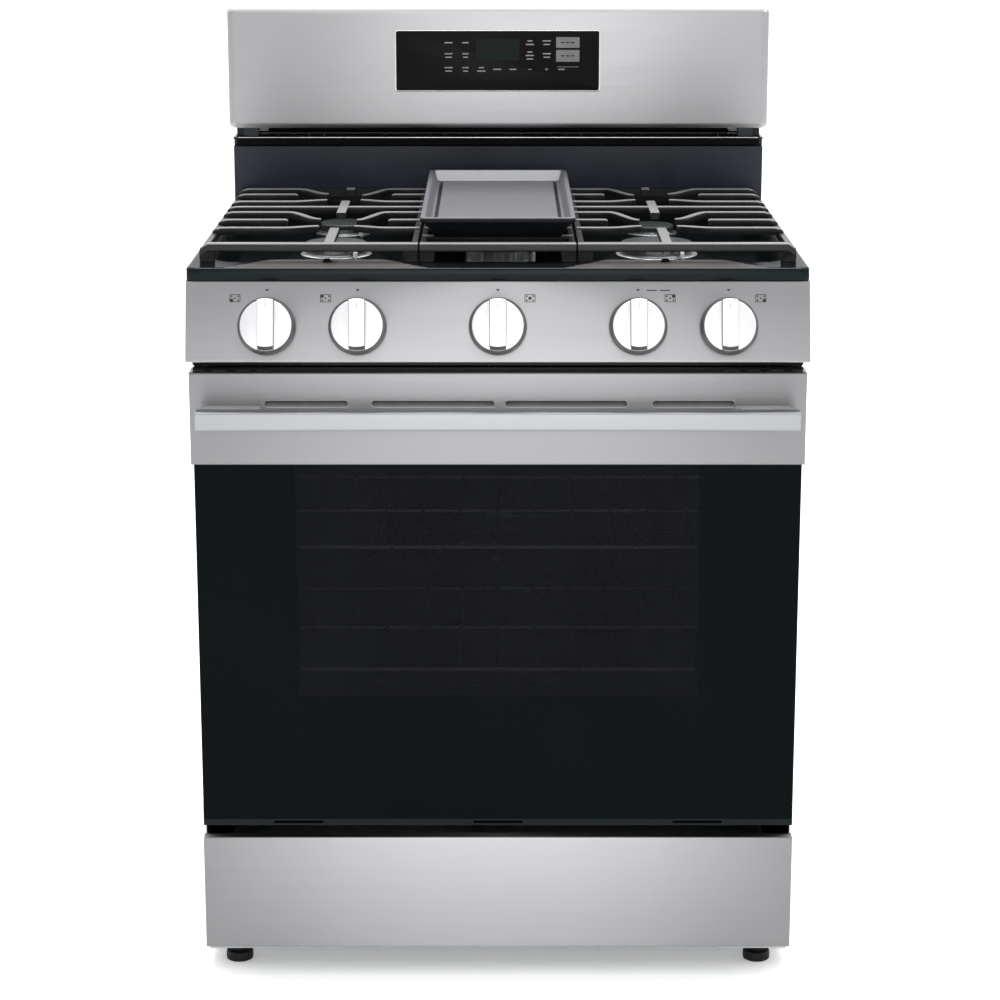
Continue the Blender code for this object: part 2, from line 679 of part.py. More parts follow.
def make_backguard():
    """Stainless shell, open at the back, with its cover and the display glass."""

    def section(inset, b):
        x_span = (-GUARD_HALF + inset, GUARD_HALF - inset)
        z_span = (GUARD_BOTTOM + inset, HEIGHT - inset)
        return in_front(outline(x_span, z_span, 0.008), b)

    rim = 0.0023
    rings = [
        section(0.0040, GUARD_FRONT - 0.0035),
        section(0.0025, GUARD_FRONT - 0.0090),
        section(0.0025, rim),
        section(0.0, rim),
        section(0.0, GUARD_FRONT - 0.0070),
        section(0.0010, GUARD_FRONT - 0.0030),
        section(0.0030, GUARD_FRONT - 0.0010),
        section(0.0070, GUARD_FRONT),
    ]
    finished(skinned("backguard_shell", rings), "stainless")
    finished(block("backguard_cover", (-0.374, 0.374), (0.0, rim - GAP), (1.031, 1.192)), "galvanised")
    glass = outline(GLASS_X, GLASS_Z, 0.003)
    rings = [in_front(glass, GUARD_FRONT + GAP), in_front(glass, GUARD_FRONT + 0.0015)]
    finished(skinned("display_glass", rings), "glass")


# ---------------------------------------------------------------- controls


def make_control_panel():
    """Slanted stainless panel: a folded shell, open at the back, with five stem holes."""
    outer = [
        (0.632, PANEL_BOTTOM_Z),
        (PANEL_BOTTOM_B, PANEL_BOTTOM_Z),
        (PANEL_TOP_B, PANEL_TOP_Z),
        (0.632, PANEL_TOP_Z),
    ]
    shell = extruded("control_panel", outer, (-HALF, HALF))
    slope = SHEET * math.tan(PANEL_TILT)
    inner = [
        (0.600, PANEL_BOTTOM_Z + SHEET),
        (PANEL_BOTTOM_B - SHEET - slope, PANEL_BOTTOM_Z + SHEET),
        (PANEL_TOP_B - SHEET + slope * 0.5, PANEL_TOP_Z - SHEET),
        (0.600, PANEL_TOP_Z - SHEET),
    ]
    hollow = extruded("panel_hollow", inner, (-HALF + SHEET, HALF - SHEET))
    cut(shell, hollow)
    holes = []
    for index, x in enumerate(KNOB_X, 1):
        hole = turned(f"stem_hole_{index}", [(0.007, -0.010), (0.007, 0.010)], 16)
        holes.append(placed(hole, *panel_point(x, 0.0), KNOB_TURN))
    finished(cut(shell, *holes), "stainless")


def make_gas_manifold():
    """Pipe behind the panel with one valve body for each knob."""
    pipe = turned("gas_manifold", [(0.010, -0.330), (0.010, 0.330)], 12)
    pipe.location = panel_point(0.0, -0.048)
    pipe.location.y = from_back(pipe.location.y)
    pipe.rotation_euler = (0.0, math.pi / 2, 0.0)
    bodies = []
    bores = []
    for index, x in enumerate(KNOB_X, 1):
        body = turned(f"valve_body_{index}", [(0.012, -0.053), (0.012, -0.014)], 16)
        bodies.append(placed(body, *panel_point(x, 0.0), KNOB_TURN))
        bore = turned(f"valve_bore_{index}", [(BORE_RADIUS, -0.034), (BORE_RADIUS, 0.0)], 16)
        bores.append(placed(bore, *panel_point(x, 0.0), KNOB_TURN))
    joined(pipe, *bodies)
    finished(cut(pipe, *bores), "brass")


def make_knobs():
    """Each knob turns on its own stem, and the stem pushes in against a spring."""
    stem_profile = [(STEM_RADIUS, -0.030), (STEM_RADIUS, KNOB_SEAT - GAP)]
    profile = [
        (KNOB_RADIUS - 0.0015, KNOB_SEAT),
        (KNOB_RADIUS, KNOB_SEAT + 0.0020),
        (KNOB_FACE_RADIUS, KNOB_FACE - 0.0010),
        (KNOB_FACE_RADIUS - 0.0010, KNOB_FACE),
    ]
    for index, x in enumerate(KNOB_X, 1):
        place = panel_point(x, 0.0)
        stem = placed(turned(f"valve_stem_{index}", stem_profile, 16), *place, KNOB_TURN)
        finished(stem, "bright_steel")
        knob = placed(turned(f"knob_{index}", profile, 32), *place, KNOB_TURN)
        grip_line = outline((-0.0105, 0.0105), (-0.0292, 0.0292), 0.003, 2)
        rings = [[(u, v, h) for u, v in grip_line] for h in (KNOB_FACE - 0.004, KNOB_HEIGHT)]
        grip = placed(skinned(f"grip_{index}", rings), *place, KNOB_TURN)
        finished(joined(knob, grip), "bright_steel")


# ---------------------------------------------------------------- door


def make_door():
    """Drop-down door: stainless band, two glasses, a pressed inner panel and a handle."""
    hinge = pivot("door_hinge", 0.0, HINGE_B, HINGE_Z)

    band = block("door_band", (-BAND_HALF, BAND_HALF), (BAND_BACK, BAND_FRONT), (GLASS_TOP + GAP, DOOR_TOP))
    inner = BAND_HALF - 0.0025
    hollow = block("band_hollow", (-inner, inner), (0.600, BAND_FRONT - 0.0025), (0.60, DOOR_TOP - 0.0025))
    slots = []
    for index, span in enumerate(BAND_SLOTS):
        line = outline(span, (0.7503, 0.7583), 0.0039)
        slots.append(skinned(f"band_slot_{index}", [in_front(line, 0.66), in_front(line, 0.70)]))
    finished(cut(cut(band, hollow), *slots), "stainless")

    glass = block("door_glass", (-DOOR_HALF, DOOR_HALF), (GLASS_FRONT - 0.004, GLASS_FRONT),
                  (GLASS_BOTTOM, GLASS_TOP))
    finished(glass, "glass")

    front = GLASS_FRONT - 0.004 - GAP
    half = DOOR_HALF - 0.0013
    top = DOOR_TOP - 0.0040
    panel = block("door_inner_panel", (-half, half), (DOOR_BACK, front), (GLASS_BOTTOM, top))
    well = block("panel_well", (-half + SHEET, half - SHEET), (DOOR_BACK + SHEET, 0.70),
                 (GLASS_BOTTOM + SHEET, top - SHEET))
    window_half = WINDOW_HALF + 0.014
    tube_z = (WINDOW_Z[0] - 0.012, WINDOW_Z[1] + 0.012)
    cut(panel, well)
    tube = block("window_tube", (-window_half - SHEET, window_half + SHEET), (DOOR_BACK + 0.001, front),
                 (tube_z[0] - SHEET, tube_z[1] + SHEET))
    joined(panel, tube)
    light = block("window_light", (-window_half, window_half), (DOOR_BACK + SHEET, 0.70), tube_z)
    sight = block("window_sight", (-WINDOW_HALF, WINDOW_HALF), (0.60, 0.65), WINDOW_Z)
    notches = []
    for side in (-1, 1):
        span = (side * HINGE_X - 0.012, side * HINGE_X + 0.012)
        notches.append(block(f"hinge_notch_{side}", span, (0.62, 0.668), (0.20, 0.235)))
    finished(cut(panel, light, sight, *notches), "black_enamel")

    pane_z = (tube_z[0] + GAP, tube_z[1] - GAP)
    pane = block("door_inner_glass", (-window_half + GAP, window_half - GAP),
                 (DOOR_BACK + SHEET + GAP, DOOR_BACK + 0.006), pane_z)
    finished(pane, "glass")

    trim = block("door_bottom_trim", (-DOOR_HALF, DOOR_HALF), (0.664, GLASS_FRONT),
                 (DOOR_BOTTOM, GLASS_BOTTOM - GAP))
    slots = []
    for index, x in enumerate((-0.253, 0.0, 0.253)):
        slots.append(block(f"trim_slot_{index}", (x - 0.031, x + 0.031), (0.67, 0.70), (0.2095, 0.2130)))
    finished(cut(trim, *slots), "black_paint")

    handle = make_handle()
    names = ("door_band", "door_glass", "door_inner_panel", "door_inner_glass", "door_bottom_trim")
    for piece in [handle, *(bpy.data.objects[name] for name in names)]:
        hung(piece, hinge)


def make_handle():
    """Flat-faced bar on two wedge-shaped end posts."""
    handle = block("door_handle", (-HANDLE_HALF, HANDLE_HALF), HANDLE_B, HANDLE_Z)
    bevel = handle.modifiers.new("Bevel", "BEVEL")
    bevel.width = 0.002
    bevel.segments = 2
    posts = []
    for side in (-1, 1):
        plan = [(side * 0.362, 0.716), (side * 0.302, 0.716), (side * 0.290, BAND_FRONT + GAP),
                (side * 0.355, BAND_FRONT + GAP)]
        rings = [in_plan(plan, HANDLE_Z[0] + 0.0022), in_plan(plan, HANDLE_Z[1] - 0.0022)]
        posts.append(skinned(f"handle_post_{side}", rings))
    return finished(joined(handle, *posts), "bright_steel")


def make_hinge_arms():
    """Hinge arm on the oven's front flange, with a round pin inside the door."""
    for name, side in (("left", -1), ("right", 1)):
        x = side * HINGE_X
        steps = 6
        profile = [(FLANGE_FRONT + GAP, HINGE_Z - 0.0045)]
        for step in range(steps + 1):
            angle = math.pi * (step / steps - 0.5)
            profile.append((HINGE_B + 0.0045 * math.cos(angle), HINGE_Z + 0.0045 * math.sin(angle)))
        profile.append((FLANGE_FRONT + GAP, HINGE_Z + 0.0045))
        arm = extruded(f"hinge_arm_{name}", profile, (x - 0.003, x + 0.003))
        pin = turned(f"hinge_pin_{name}", [(0.0028, -0.010), (0.0028, 0.010)], 16)
        placed(pin, x, HINGE_B, HINGE_Z)
        pin.rotation_euler = (0.0, math.pi / 2, 0.0)
        finished(joined(arm, pin), "galvanised")


# ---------------------------------------------------------------- drawer and racks


def make_drawer():
    slide = pivot("drawer_slide", 0.0, DRAWER_FRONT, sum(DRAWER_Z) / 2)
    rear = TRAY_B[1] + GAP
    front = block("drawer_front", (-DRAWER_HALF, DRAWER_HALF), (rear, DRAWER_FRONT), DRAWER_Z)
    inner = DRAWER_HALF - 0.0025
    hollow = block("front_hollow", (-inner, inner), (0.65, DRAWER_FRONT - 0.0025),
                   (DRAWER_Z[0] + 0.0025, DRAWER_Z[1] - 0.0025))
    hung(finished(cut(front, hollow), "stainless"), slide)

    bottom = BASE_TOP + GAP
    outer = outline((-TRAY_HALF, TRAY_HALF), TRAY_B)
    inner = outline((-TRAY_HALF + SHEET, TRAY_HALF - SHEET), (TRAY_B[0] + SHEET, TRAY_B[1] - SHEET))
    rings = [in_plan(outer, bottom), in_plan(outer, TRAY_TOP), in_plan(inner, TRAY_TOP), in_plan(inner, bottom + SHEET)]
    hung(finished(skinned("drawer_box", rings), "galvanised"), slide)


def make_rack(name, height):
    """Wire shelf: lengthwise wires between cross wires, welded in one plane."""
    half, b_span = 0.3005, (0.215, 0.603)
    wires = 13
    pitch = (2 * half - RACK_WIRE) / (wires - 1)
    xs = []
    for index in range(wires):
        start = -half + pitch * index
        xs += [start, start + RACK_WIRE]
    bs = []
    for start in (b_span[0], (sum(b_span) - RACK_WIRE) / 2, b_span[1] - RACK_WIRE):
        bs += [start, start + RACK_WIRE]
    work = bmesh.new()
    grid = [[work.verts.new((x, from_back(b), height - RACK_WIRE / 2)) for b in bs] for x in xs]
    for i in range(len(xs) - 1):
        for j in range(len(bs) - 1):
            if i % 2 == 0 or j % 2 == 0:
                work.faces.new((grid[i][j], grid[i][j + 1], grid[i + 1][j + 1], grid[i + 1][j]))
    made = bmesh.ops.extrude_face_region(work, geom=list(work.faces))
    raised = [item for item in made["geom"] if isinstance(item, bmesh.types.BMVert)]
    bmesh.ops.translate(work, verts=raised, vec=(0.0, 0.0, RACK_WIRE))
    bmesh.ops.recalc_face_normals(work, faces=work.faces)
    mesh = bpy.data.meshes.new(f"oven_rack_{name}")
    work.to_mesh(mesh)
    work.free()
    slide = pivot(f"rack_{name}_slide", 0.0, b_span[1], height)
    hung(finished(linked(f"oven_rack_{name}", mesh), "bright_steel"), slide)


def main():
    clear_scene()
    make_base_frame()
    make_side_panels()
    make_back_panel()
    make_oven_liner()
    make_oven_insulation()
    make_oven_floor()
    make_oven_burners()
    make_fan()
    make_inlets()
    make_feet()
    make_cooktop()
    make_round_burners()
    make_oval_burner()
    make_side_grate("left", -1)
    make_side_grate("right", 1)
    make_centre_grate()
    make_griddle()
    make_vent_riser()
    make_backguard()
    make_control_panel()
    make_gas_manifold()
    make_knobs()
    make_door()
    make_hinge_arms()
    make_drawer()
    for name, height in RACK_HEIGHTS.items():
        make_rack(name, height)


main()
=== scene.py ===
"""Looks of the freestanding five-burner gas range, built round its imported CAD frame.

Metres, +X to the right, +Y to the back, +Z up. Depths ("b") are distances forward from
the rear plane.
"""

import json
import math

import bmesh
import bpy
from mathutils import Matrix, Vector

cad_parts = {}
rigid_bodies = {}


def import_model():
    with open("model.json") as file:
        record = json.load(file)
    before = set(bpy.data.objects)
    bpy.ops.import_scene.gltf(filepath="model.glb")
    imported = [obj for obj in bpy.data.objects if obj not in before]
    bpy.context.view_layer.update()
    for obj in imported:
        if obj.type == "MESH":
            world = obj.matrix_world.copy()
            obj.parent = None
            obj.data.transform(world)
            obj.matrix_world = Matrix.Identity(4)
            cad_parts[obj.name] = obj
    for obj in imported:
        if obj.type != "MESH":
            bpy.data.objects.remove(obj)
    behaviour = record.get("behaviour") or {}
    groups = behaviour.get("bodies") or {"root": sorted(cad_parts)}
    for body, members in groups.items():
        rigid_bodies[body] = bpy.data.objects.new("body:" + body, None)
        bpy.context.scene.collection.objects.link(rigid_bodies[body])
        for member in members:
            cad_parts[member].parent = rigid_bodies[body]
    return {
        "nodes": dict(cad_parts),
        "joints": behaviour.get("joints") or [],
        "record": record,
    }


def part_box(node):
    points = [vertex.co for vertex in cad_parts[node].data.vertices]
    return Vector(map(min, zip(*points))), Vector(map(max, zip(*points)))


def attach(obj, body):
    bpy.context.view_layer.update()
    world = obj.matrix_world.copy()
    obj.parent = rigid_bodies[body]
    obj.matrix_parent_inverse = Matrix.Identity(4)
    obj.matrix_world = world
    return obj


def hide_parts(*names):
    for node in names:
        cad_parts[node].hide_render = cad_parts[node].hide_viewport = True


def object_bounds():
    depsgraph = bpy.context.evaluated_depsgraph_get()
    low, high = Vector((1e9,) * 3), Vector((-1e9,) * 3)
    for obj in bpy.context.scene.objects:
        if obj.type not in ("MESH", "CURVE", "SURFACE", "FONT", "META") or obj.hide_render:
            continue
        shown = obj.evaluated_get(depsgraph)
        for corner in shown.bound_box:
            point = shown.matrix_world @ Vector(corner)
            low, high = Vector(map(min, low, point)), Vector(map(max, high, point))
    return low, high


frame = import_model()
CAD_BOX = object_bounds()
BACK_Y = CAD_BOX[1].y
SCENE = bpy.context.scene


# ---------------------------------------------------------------- places


def from_back(b):
    """Y of a point that lies b in front of the rear plane."""
    return BACK_Y - b


def extent(node):
    """Spans in x, b and z of a CAD node at rest."""
    low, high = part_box(node)
    return (low.x, high.x), (BACK_Y - high.y, BACK_Y - low.y), (low.z, high.z)


def in_plan(points, z):
    """Points given as (x, b), at one height."""
    return [(x, from_back(b), z) for x, b in points]


def in_front(points, b):
    """Points given as (x, z), at one depth."""
    return [(x, from_back(b), z) for x, z in points]


def in_side(points, x):
    """Points given as (b, z), at one distance to the side."""
    return [(x, from_back(b), z) for b, z in points]


def raised(line, *heights):
    """Rings of a local (u, v) outline at several heights."""
    return [[(u, v, h) for u, v in line] for h in heights]


def shrunk(span, inset):
    """A span with an inset at both ends."""
    return span[0] + inset, span[1] - inset


def arc(u, v, radius, quarter, steps):
    """Points of one quarter of a circle round (u, v)."""
    turns = [math.pi / 2 * (quarter + step / steps) for step in range(steps + 1)]
    return [(u + radius * math.cos(turn), v + radius * math.sin(turn)) for turn in turns]


def ease(t):
    """Smooth step from 0 to 1."""
    t = min(max(t, 0.0), 1.0)
    return t * t * (3 - 2 * t)


def outline(u_span, v_span, radius=0.0, steps=6):
    """Rectangle in a plane, counter-clockwise, with square or round corners."""
    (u0, u1), (v0, v1) = u_span, v_span
    if radius <= 0.0:
        return [(u0, v0), (u1, v0), (u1, v1), (u0, v1)]
    radius = min(radius, (u1 - u0) / 2, (v1 - v0) / 2)
    (left, right), (low, high) = shrunk(u_span, radius), shrunk(v_span, radius)
    points = []
    for quarter, (u, v) in enumerate(((right, high), (left, high), (left, low), (right, low))):
        points += arc(u, v, radius, quarter, steps)
    return points


def inset_outline(u_span, v_span, inset, radius=0.0, steps=6):
    """Outline of a rectangle that is inset on all its sides."""
    return outline(shrunk(u_span, inset), shrunk(v_span, inset), radius, steps)


def filleted(points, radius, steps=5):
    """Closed outline with each of its corners rounded."""
    rounded = []
    for i, point in enumerate(points):
        corner = Vector(point)
        before = Vector(points[i - 1]) - corner
        after = Vector(points[(i + 1) % len(points)]) - corner
        half = before.angle(after) / 2
        reach = min(radius / math.tan(half), before.length * 0.45, after.length * 0.45)
        start = corner + before.normalized() * reach
        end = corner + after.normalized() * reach
        for step in range(steps + 1):
            t = step / steps
            rounded.append(tuple(start * (1 - t) ** 2 + corner * 2 * t * (1 - t) + end * t * t))
    return rounded


# ---------------------------------------------------------------- meshes


def published(name, work, sharp=35.0):
    """Turn a bmesh into an object, shaded smooth up to a sharp angle."""
    bmesh.ops.recalc_face_normals(work, faces=work.faces)
    mesh = bpy.data.meshes.new(name)
    work.to_mesh(mesh)
    work.free()
    mesh.shade_smooth()
    mesh.set_sharp_from_angle(angle=math.radians(sharp))
    obj = bpy.data.objects.new(name, mesh)
    SCENE.collection.objects.link(obj)
    return obj


def add_skin(work, rings, closed=False):
    """Skin a row of rings into one closed shell inside a bmesh."""
    loops = [[work.verts.new(point) for point in ring] for ring in rings]
    pairs = list(zip(loops, loops[1:]))
    if closed:
        pairs.append((loops[-1], loops[0]))
    else:
        work.faces.new(loops[0])
        work.faces.new(loops[-1])
    for lower, upper in pairs:
        for i, corner in enumerate(lower):
            j = (i + 1) % len(lower)
            work.faces.new((corner, lower[j], upper[j], upper[i]))


def skin(name, rings, closed=False, sharp=35.0):
    work = bmesh.new()
    add_skin(work, rings, closed)
    return published(name, work, sharp)


def prism(name, profile, x_span):
    """A (b, z) profile run along X."""
    return skin(name, [in_side(profile, x) for x in x_span])


def plate(name, x_span, b_span, z_span, radius=0.0):
    """Upright plate with its outline in x and z."""
    line = outline(x_span, z_span, radius)
    return skin(name, [in_front(line, b) for b in b_span])


def slab(name, x_span, b_span, z_span, radius=0.0):
    """Level plate with its outline in x and b."""
    line = outline(x_span, b_span, radius)
    return skin(name, [in_plan(line, z) for z in z_span])


def turned_rings(profile, segments, ripple=None):
    """Rings of a (radius, height) profile; ripple(angle, height) adds to the radius."""
    rings = []
    for radius, height in profile:
        ring = []
        for step in range(segments):
            angle = 2 * math.pi * step / segments
            r = radius + (ripple(angle, height) if ripple else 0.0)
            ring.append((r * math.cos(angle), r * math.sin(angle), height))
        rings.append(ring)
    return rings


def turned(name, profile, matrix, segments=64, ripple=None, sharp=35.0):
    obj = skin(name, turned_rings(profile, segments, ripple), sharp=sharp)
    obj.data.transform(matrix)
    return obj


def standing(x, b, z=0.0):
    return Matrix.Translation((x, from_back(b), z))


def facing_back(x, b, z):
    """Local +Z points to the back."""
    return standing(x, b, z) @ Matrix.Rotation(-math.pi / 2, 4, "X")


def facing_front(x, b, z):
    """Local +Z points to the front, and local +Y up."""
    return standing(x, b, z) @ Matrix.Rotation(math.pi / 2, 4, "X")


def tube_rings(path, radius, sides=10, closed=False):
    """Rings along a path of points, carried without twist."""
    points = [Vector(point) for point in path]
    last = len(points) - 1
    turns = [2 * math.pi * step / sides for step in range(sides)]
    rings = []
    side = None
    for i, point in enumerate(points):
        if closed:
            along = points[(i + 1) % len(points)] - points[i - 1]
        else:
            along = points[min(i + 1, last)] - points[max(i - 1, 0)]
        along.normalize()
        if side is None:
            side = along.orthogonal().normalized()
        side = (side - along * side.dot(along)).normalized()
        other = along.cross(side)
        rings.append([tuple(point + (side * math.cos(a) + other * math.sin(a)) * radius) for a in turns])
    return rings


def baked(obj):
    """Apply an object's modifiers to its own mesh."""
    graph = bpy.context.evaluated_depsgraph_get()
    mesh = bpy.data.meshes.new_from_object(obj.evaluated_get(graph))
    obj.modifiers.clear()
    obj.data = mesh
    return obj


def combined(obj, tools, operation, sharp=35.0):
    """Exact boolean of obj with its tools, which are used up."""
    group = bpy.data.collections.new(f"{obj.name}_{operation.lower()}")
    SCENE.collection.children.link(group)
    for tool in tools:
        SCENE.collection.objects.unlink(tool)
        group.objects.link(tool)
    modifier = obj.modifiers.new(operation, "BOOLEAN")
    modifier.operation = operation
    modifier.solver = "EXACT"
    modifier.operand_type = "COLLECTION"
    modifier.collection = group
    baked(obj)
    for tool in list(group.objects):
        bpy.data.objects.remove(tool)
    bpy.data.collections.remove(group)
    obj.data.shade_smooth()
    obj.data.set_sharp_from_angle(angle=math.radians(sharp))
    return obj


def carved(obj, *tools, sharp=35.0):
    return combined(obj, tools, "DIFFERENCE", sharp)


def united(obj, *tools, sharp=35.0):
    return combined(obj, tools, "UNION", sharp)


def eased(obj, width, segments=3, angle=40.0):
    """Round the edges that are sharper than an angle."""
    bevel = obj.modifiers.new("Eased", "BEVEL")
    bevel.width = width
    bevel.segments = segments
    bevel.limit_method = "ANGLE"
    bevel.angle_limit = math.radians(angle)
    bevel.harden_normals = True
    return obj


def finish(obj, body, *finishes, replaces=()):
    """Give a piece its materials, its body and the CAD nodes it stands for."""
    chosen = [face.material_index for face in obj.data.polygons]
    obj.data.materials.clear()
    for name in finishes:
        obj.data.materials.append(FINISHES[name][0])
    if len(finishes) > 1:
        obj.data.polygons.foreach_set("material_index", chosen)
    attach(obj, body)
    if replaces:
        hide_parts(*replaces)
    return obj


def shells(name, body, surface, parts, closed=False, replaces=()):
    """One piece made of several shells, each given by its rings."""
    work = bmesh.new()
    for rings in parts:
        add_skin(work, rings, closed)
    return finish(published(name, work), body, surface, replaces=replaces)


# ---------------------------------------------------------------- materials


def principled(name, colour, roughness, metallic=0.0, **sockets):
    """Material with plain values on its shader."""
    material = bpy.data.materials.new(name)
    material.use_nodes = True
    shader = material.node_tree.nodes["Principled BSDF"]
    shader.inputs["Base Color"].default_value = (*colour, 1.0)
    shader.inputs["Roughness"].default_value = roughness
    shader.inputs["Metallic"].default_value = metallic
    for key, value in sockets.items():
        shader.inputs[key.replace("_", " ")].default_value = value
    return material


def add_node(material, kind, inputs, **settings):
    """New node with its settings, and its inputs either linked or given a value."""
    tree = material.node_tree
    made = tree.nodes.new(kind)
    for key, value in settings.items():
        setattr(made, key, value)
    for key, value in inputs.items():
        if isinstance(value, bpy.types.NodeSocket):
            tree.links.new(value, made.inputs[key])
        else:
            made.inputs[key].default_value = value
    return made


def feed(material, socket, output):
    shader = material.node_tree.nodes["Principled BSDF"]
    material.node_tree.links.new(output, shader.inputs[socket])


def placed_vector(material, stretch):
    """Object coordinates, in cycles per metre along each axis."""
    place = add_node(material, "ShaderNodeTexCoord", {})
    mapped = add_node(material, "ShaderNodeMapping", {"Vector": place.outputs["Object"], "Scale": stretch})
    return mapped.outputs["Vector"]


def noise(material, stretch, detail=3.0, roughness=0.55):
    vector = placed_vector(material, stretch)
    values = {"Vector": vector, "Scale": 1.0, "Detail": detail, "Roughness": roughness}
    return add_node(material, "ShaderNodeTexNoise", values).outputs["Fac"]


def spread(material, factor, low, high, start=0.3, end=0.7):
    """Map the middle of a noise to a range of values."""
    values = {"Value": factor, "From Min": start, "From Max": end, "To Min": low, "To Max": high}
    return add_node(material, "ShaderNodeMapRange", values).outputs["Result"]


def shaded(material, factor, *stops):
    """Colour by a factor, through (place, colour) stops."""
    ramp = add_node(material, "ShaderNodeValToRGB", {"Fac": factor})
    elements = ramp.color_ramp.elements
    while len(elements) < len(stops):
        elements.new(0.5)
    for element, (place, colour) in zip(elements, stops):
        element.position = place
        element.color = (*colour, 1.0)
    return ramp.outputs["Color"]


def blended(material, one, two, mode="MULTIPLY", share=1.0):
    """Mix of two colours."""
    mix = material.node_tree.nodes.new("ShaderNodeMix")
    mix.data_type = "RGBA"
    mix.blend_type = mode
    mix.inputs[0].default_value = share
    material.node_tree.links.new(one, mix.inputs[6])
    material.node_tree.links.new(two, mix.inputs[7])
    return mix.outputs[2]


def bumped(material, height, distance, strength=1.0):
    values = {"Height": height, "Distance": distance, "Strength": strength}
    feed(material, "Normal", add_node(material, "ShaderNodeBump", values).outputs["Normal"])


def scaled(colour, share):
    return tuple(min(1.0, part * share) for part in colour)


def tinted(material, factor, colour, low, high, start=0.3, end=0.7):
    """Base colour that runs between two shares of a colour."""
    stops = (start, scaled(colour, low)), (end, scaled(colour, high))
    feed(material, "Base Color", shaded(material, factor, *stops))


def glossed(material, factor, low, high):
    """Roughness that runs between two values."""
    feed(material, "Roughness", spread(material, factor, low, high))


# Share of the painted shade reached at each place between a piece's middle (0) and its end (1)
FALLOFF = ((0.0, 0.0), (0.25, 0.05), (0.5, 0.25), (0.75, 0.62), (1.0, 1.0))
FALLOFF_REACH = 0.38


def painted_shade_at_ends(material, tone, falloff):
    """Paint shade into a colour: darken it smoothly from x = 0 towards both ends, in place of the
    reflection's falloff.
    """
    place = add_node(material, "ShaderNodeTexCoord", {})
    split = add_node(material, "ShaderNodeSeparateXYZ", {"Vector": place.outputs["Object"]})
    away = add_node(material, "ShaderNodeMath", {0: split.outputs["X"]}, operation="ABSOLUTE")
    values = {0: away.outputs[0], 1: 1 / FALLOFF_REACH}
    reach = add_node(material, "ShaderNodeMath", values, operation="MULTIPLY")
    stops = [(at, (1 - falloff * drop,) * 3) for at, drop in FALLOFF]
    return blended(material, tone, shaded(material, reach.outputs[0], *stops))


def brushed(name, colour, roughness, along="X", contrast=0.015, grain=0.0, falloff=0.0):
    """Metal brushed in one direction, with soft streaks, fine hairlines and, where a falloff is given,
    painted shade towards both ends.
    """
    material = principled(name, colour, roughness, 1.0, Anisotropic=grain, Anisotropic_Rotation=0.25)
    streak, hair = [90.0] * 3, [900.0] * 3
    axis = "XYZ".index(along)
    streak[axis], hair[axis] = 1.2, 9.0
    streaks = noise(material, streak, 4.0, 0.6)
    hairs = noise(material, hair, 2.0, 0.7)
    stops = (0.25, scaled(colour, 1 - contrast)), (0.75, scaled(colour, 1 + contrast))
    broad = shaded(material, streaks, *stops)
    fine = shaded(material, hairs, (0.25, (0.95,) * 3), (0.75, (1.0,) * 3))
    tone = blended(material, broad, fine)
    # Painted shade: the colour darkens towards both ends of the piece.
    if falloff:
        tone = painted_shade_at_ends(material, tone, falloff)
    feed(material, "Base Color", tone)
    glossed(material, hairs, roughness - 0.02, roughness + 0.03)
    bumped(material, hairs, 0.00003, 0.15)
    return material


def enamel(name, colour, roughness, specular=0.5, ripple=0.1):
    """Glossy fired enamel with a faint orange peel and a little haze."""
    material = principled(name, colour, roughness, 0.0, Specular_IOR_Level=specular)
    peel = noise(material, (260.0,) * 3, 2.0, 0.5)
    haze = noise(material, (14.0,) * 3, 4.0, 0.6)
    glossed(material, haze, roughness * 0.85, roughness * 1.25)
    tinted(material, haze, colour, 0.85, 1.2)
    bumped(material, peel, 0.0002, ripple)
    return material


def cast(name, colour, roughness, grit=0.35, specular=0.5, metallic=0.0, mottle=0.22):
    """Cast iron under a matt enamel: fine grit, uneven tone."""
    material = principled(name, colour, roughness, metallic, Specular_IOR_Level=specular)
    grains = noise(material, (900.0,) * 3, 3.0, 0.65)
    clouds = noise(material, (45.0,) * 3, 4.0, 0.6)
    stops = (0.3, scaled(colour, 1 - mottle)), (0.7, scaled(colour, 1 + mottle))
    tone = shaded(material, clouds, *stops)
    speck = shaded(material, grains, (0.35, (0.82,) * 3), (0.65, (1.0,) * 3))
    feed(material, "Base Color", blended(material, tone, speck))
    glossed(material, clouds, roughness - mottle * 0.2, roughness + mottle * 0.3)
    bumped(material, grains, 0.0003, grit)
    return material


def cells(material, frequency):
    """Small random cells."""
    values = {"Vector": placed_vector(material, (frequency,) * 3), "Scale": 1.0}
    return add_node(material, "ShaderNodeTexVoronoi", values)


def speckled(name, colour, roughness):
    """Dark oven enamel with fine pale specks."""
    material = enamel(name, colour, roughness, 0.4)
    dots = cells(material, 260.0).outputs["Distance"]
    feed(material, "Base Color", shaded(material, dots, (0.1, (0.55, 0.56, 0.6)), (0.17, colour)))
    return material


def spangled(name, colour, roughness):
    """Galvanised sheet with its crystal spangle."""
    material = principled(name, colour, roughness, 1.0)
    tinted(material, cells(material, 130.0).outputs["Color"], colour, 0.9, 1.08, 0.1, 0.9)
    soot = noise(material, (22.0,) * 3, 3.0)
    glossed(material, soot, roughness - 0.08, roughness + 0.1)
    return material


def glazed(name, colour, roughness=0.04, specular=0.12, alpha=1.0):
    """Dark glass: smooth, with a barely visible float wave."""
    material = principled(name, colour, roughness, 0.0, Specular_IOR_Level=specular, Alpha=alpha)
    wave = noise(material, (7.0, 7.0, 3.0), 1.0)
    glossed(material, wave, roughness * 0.7, roughness * 1.6)
    tinted(material, wave, colour, 0.9, 1.1)
    return material


def woolly(name, colour, roughness=0.95):
    """Matted fibre."""
    material = principled(name, colour, roughness, 0.0, Specular_IOR_Level=0.2)
    tufts = noise(material, (160.0,) * 3, 5.0, 0.75)
    tinted(material, tufts, colour, 0.6, 1.0)
    bumped(material, tufts, 0.003, 0.6)
    return material


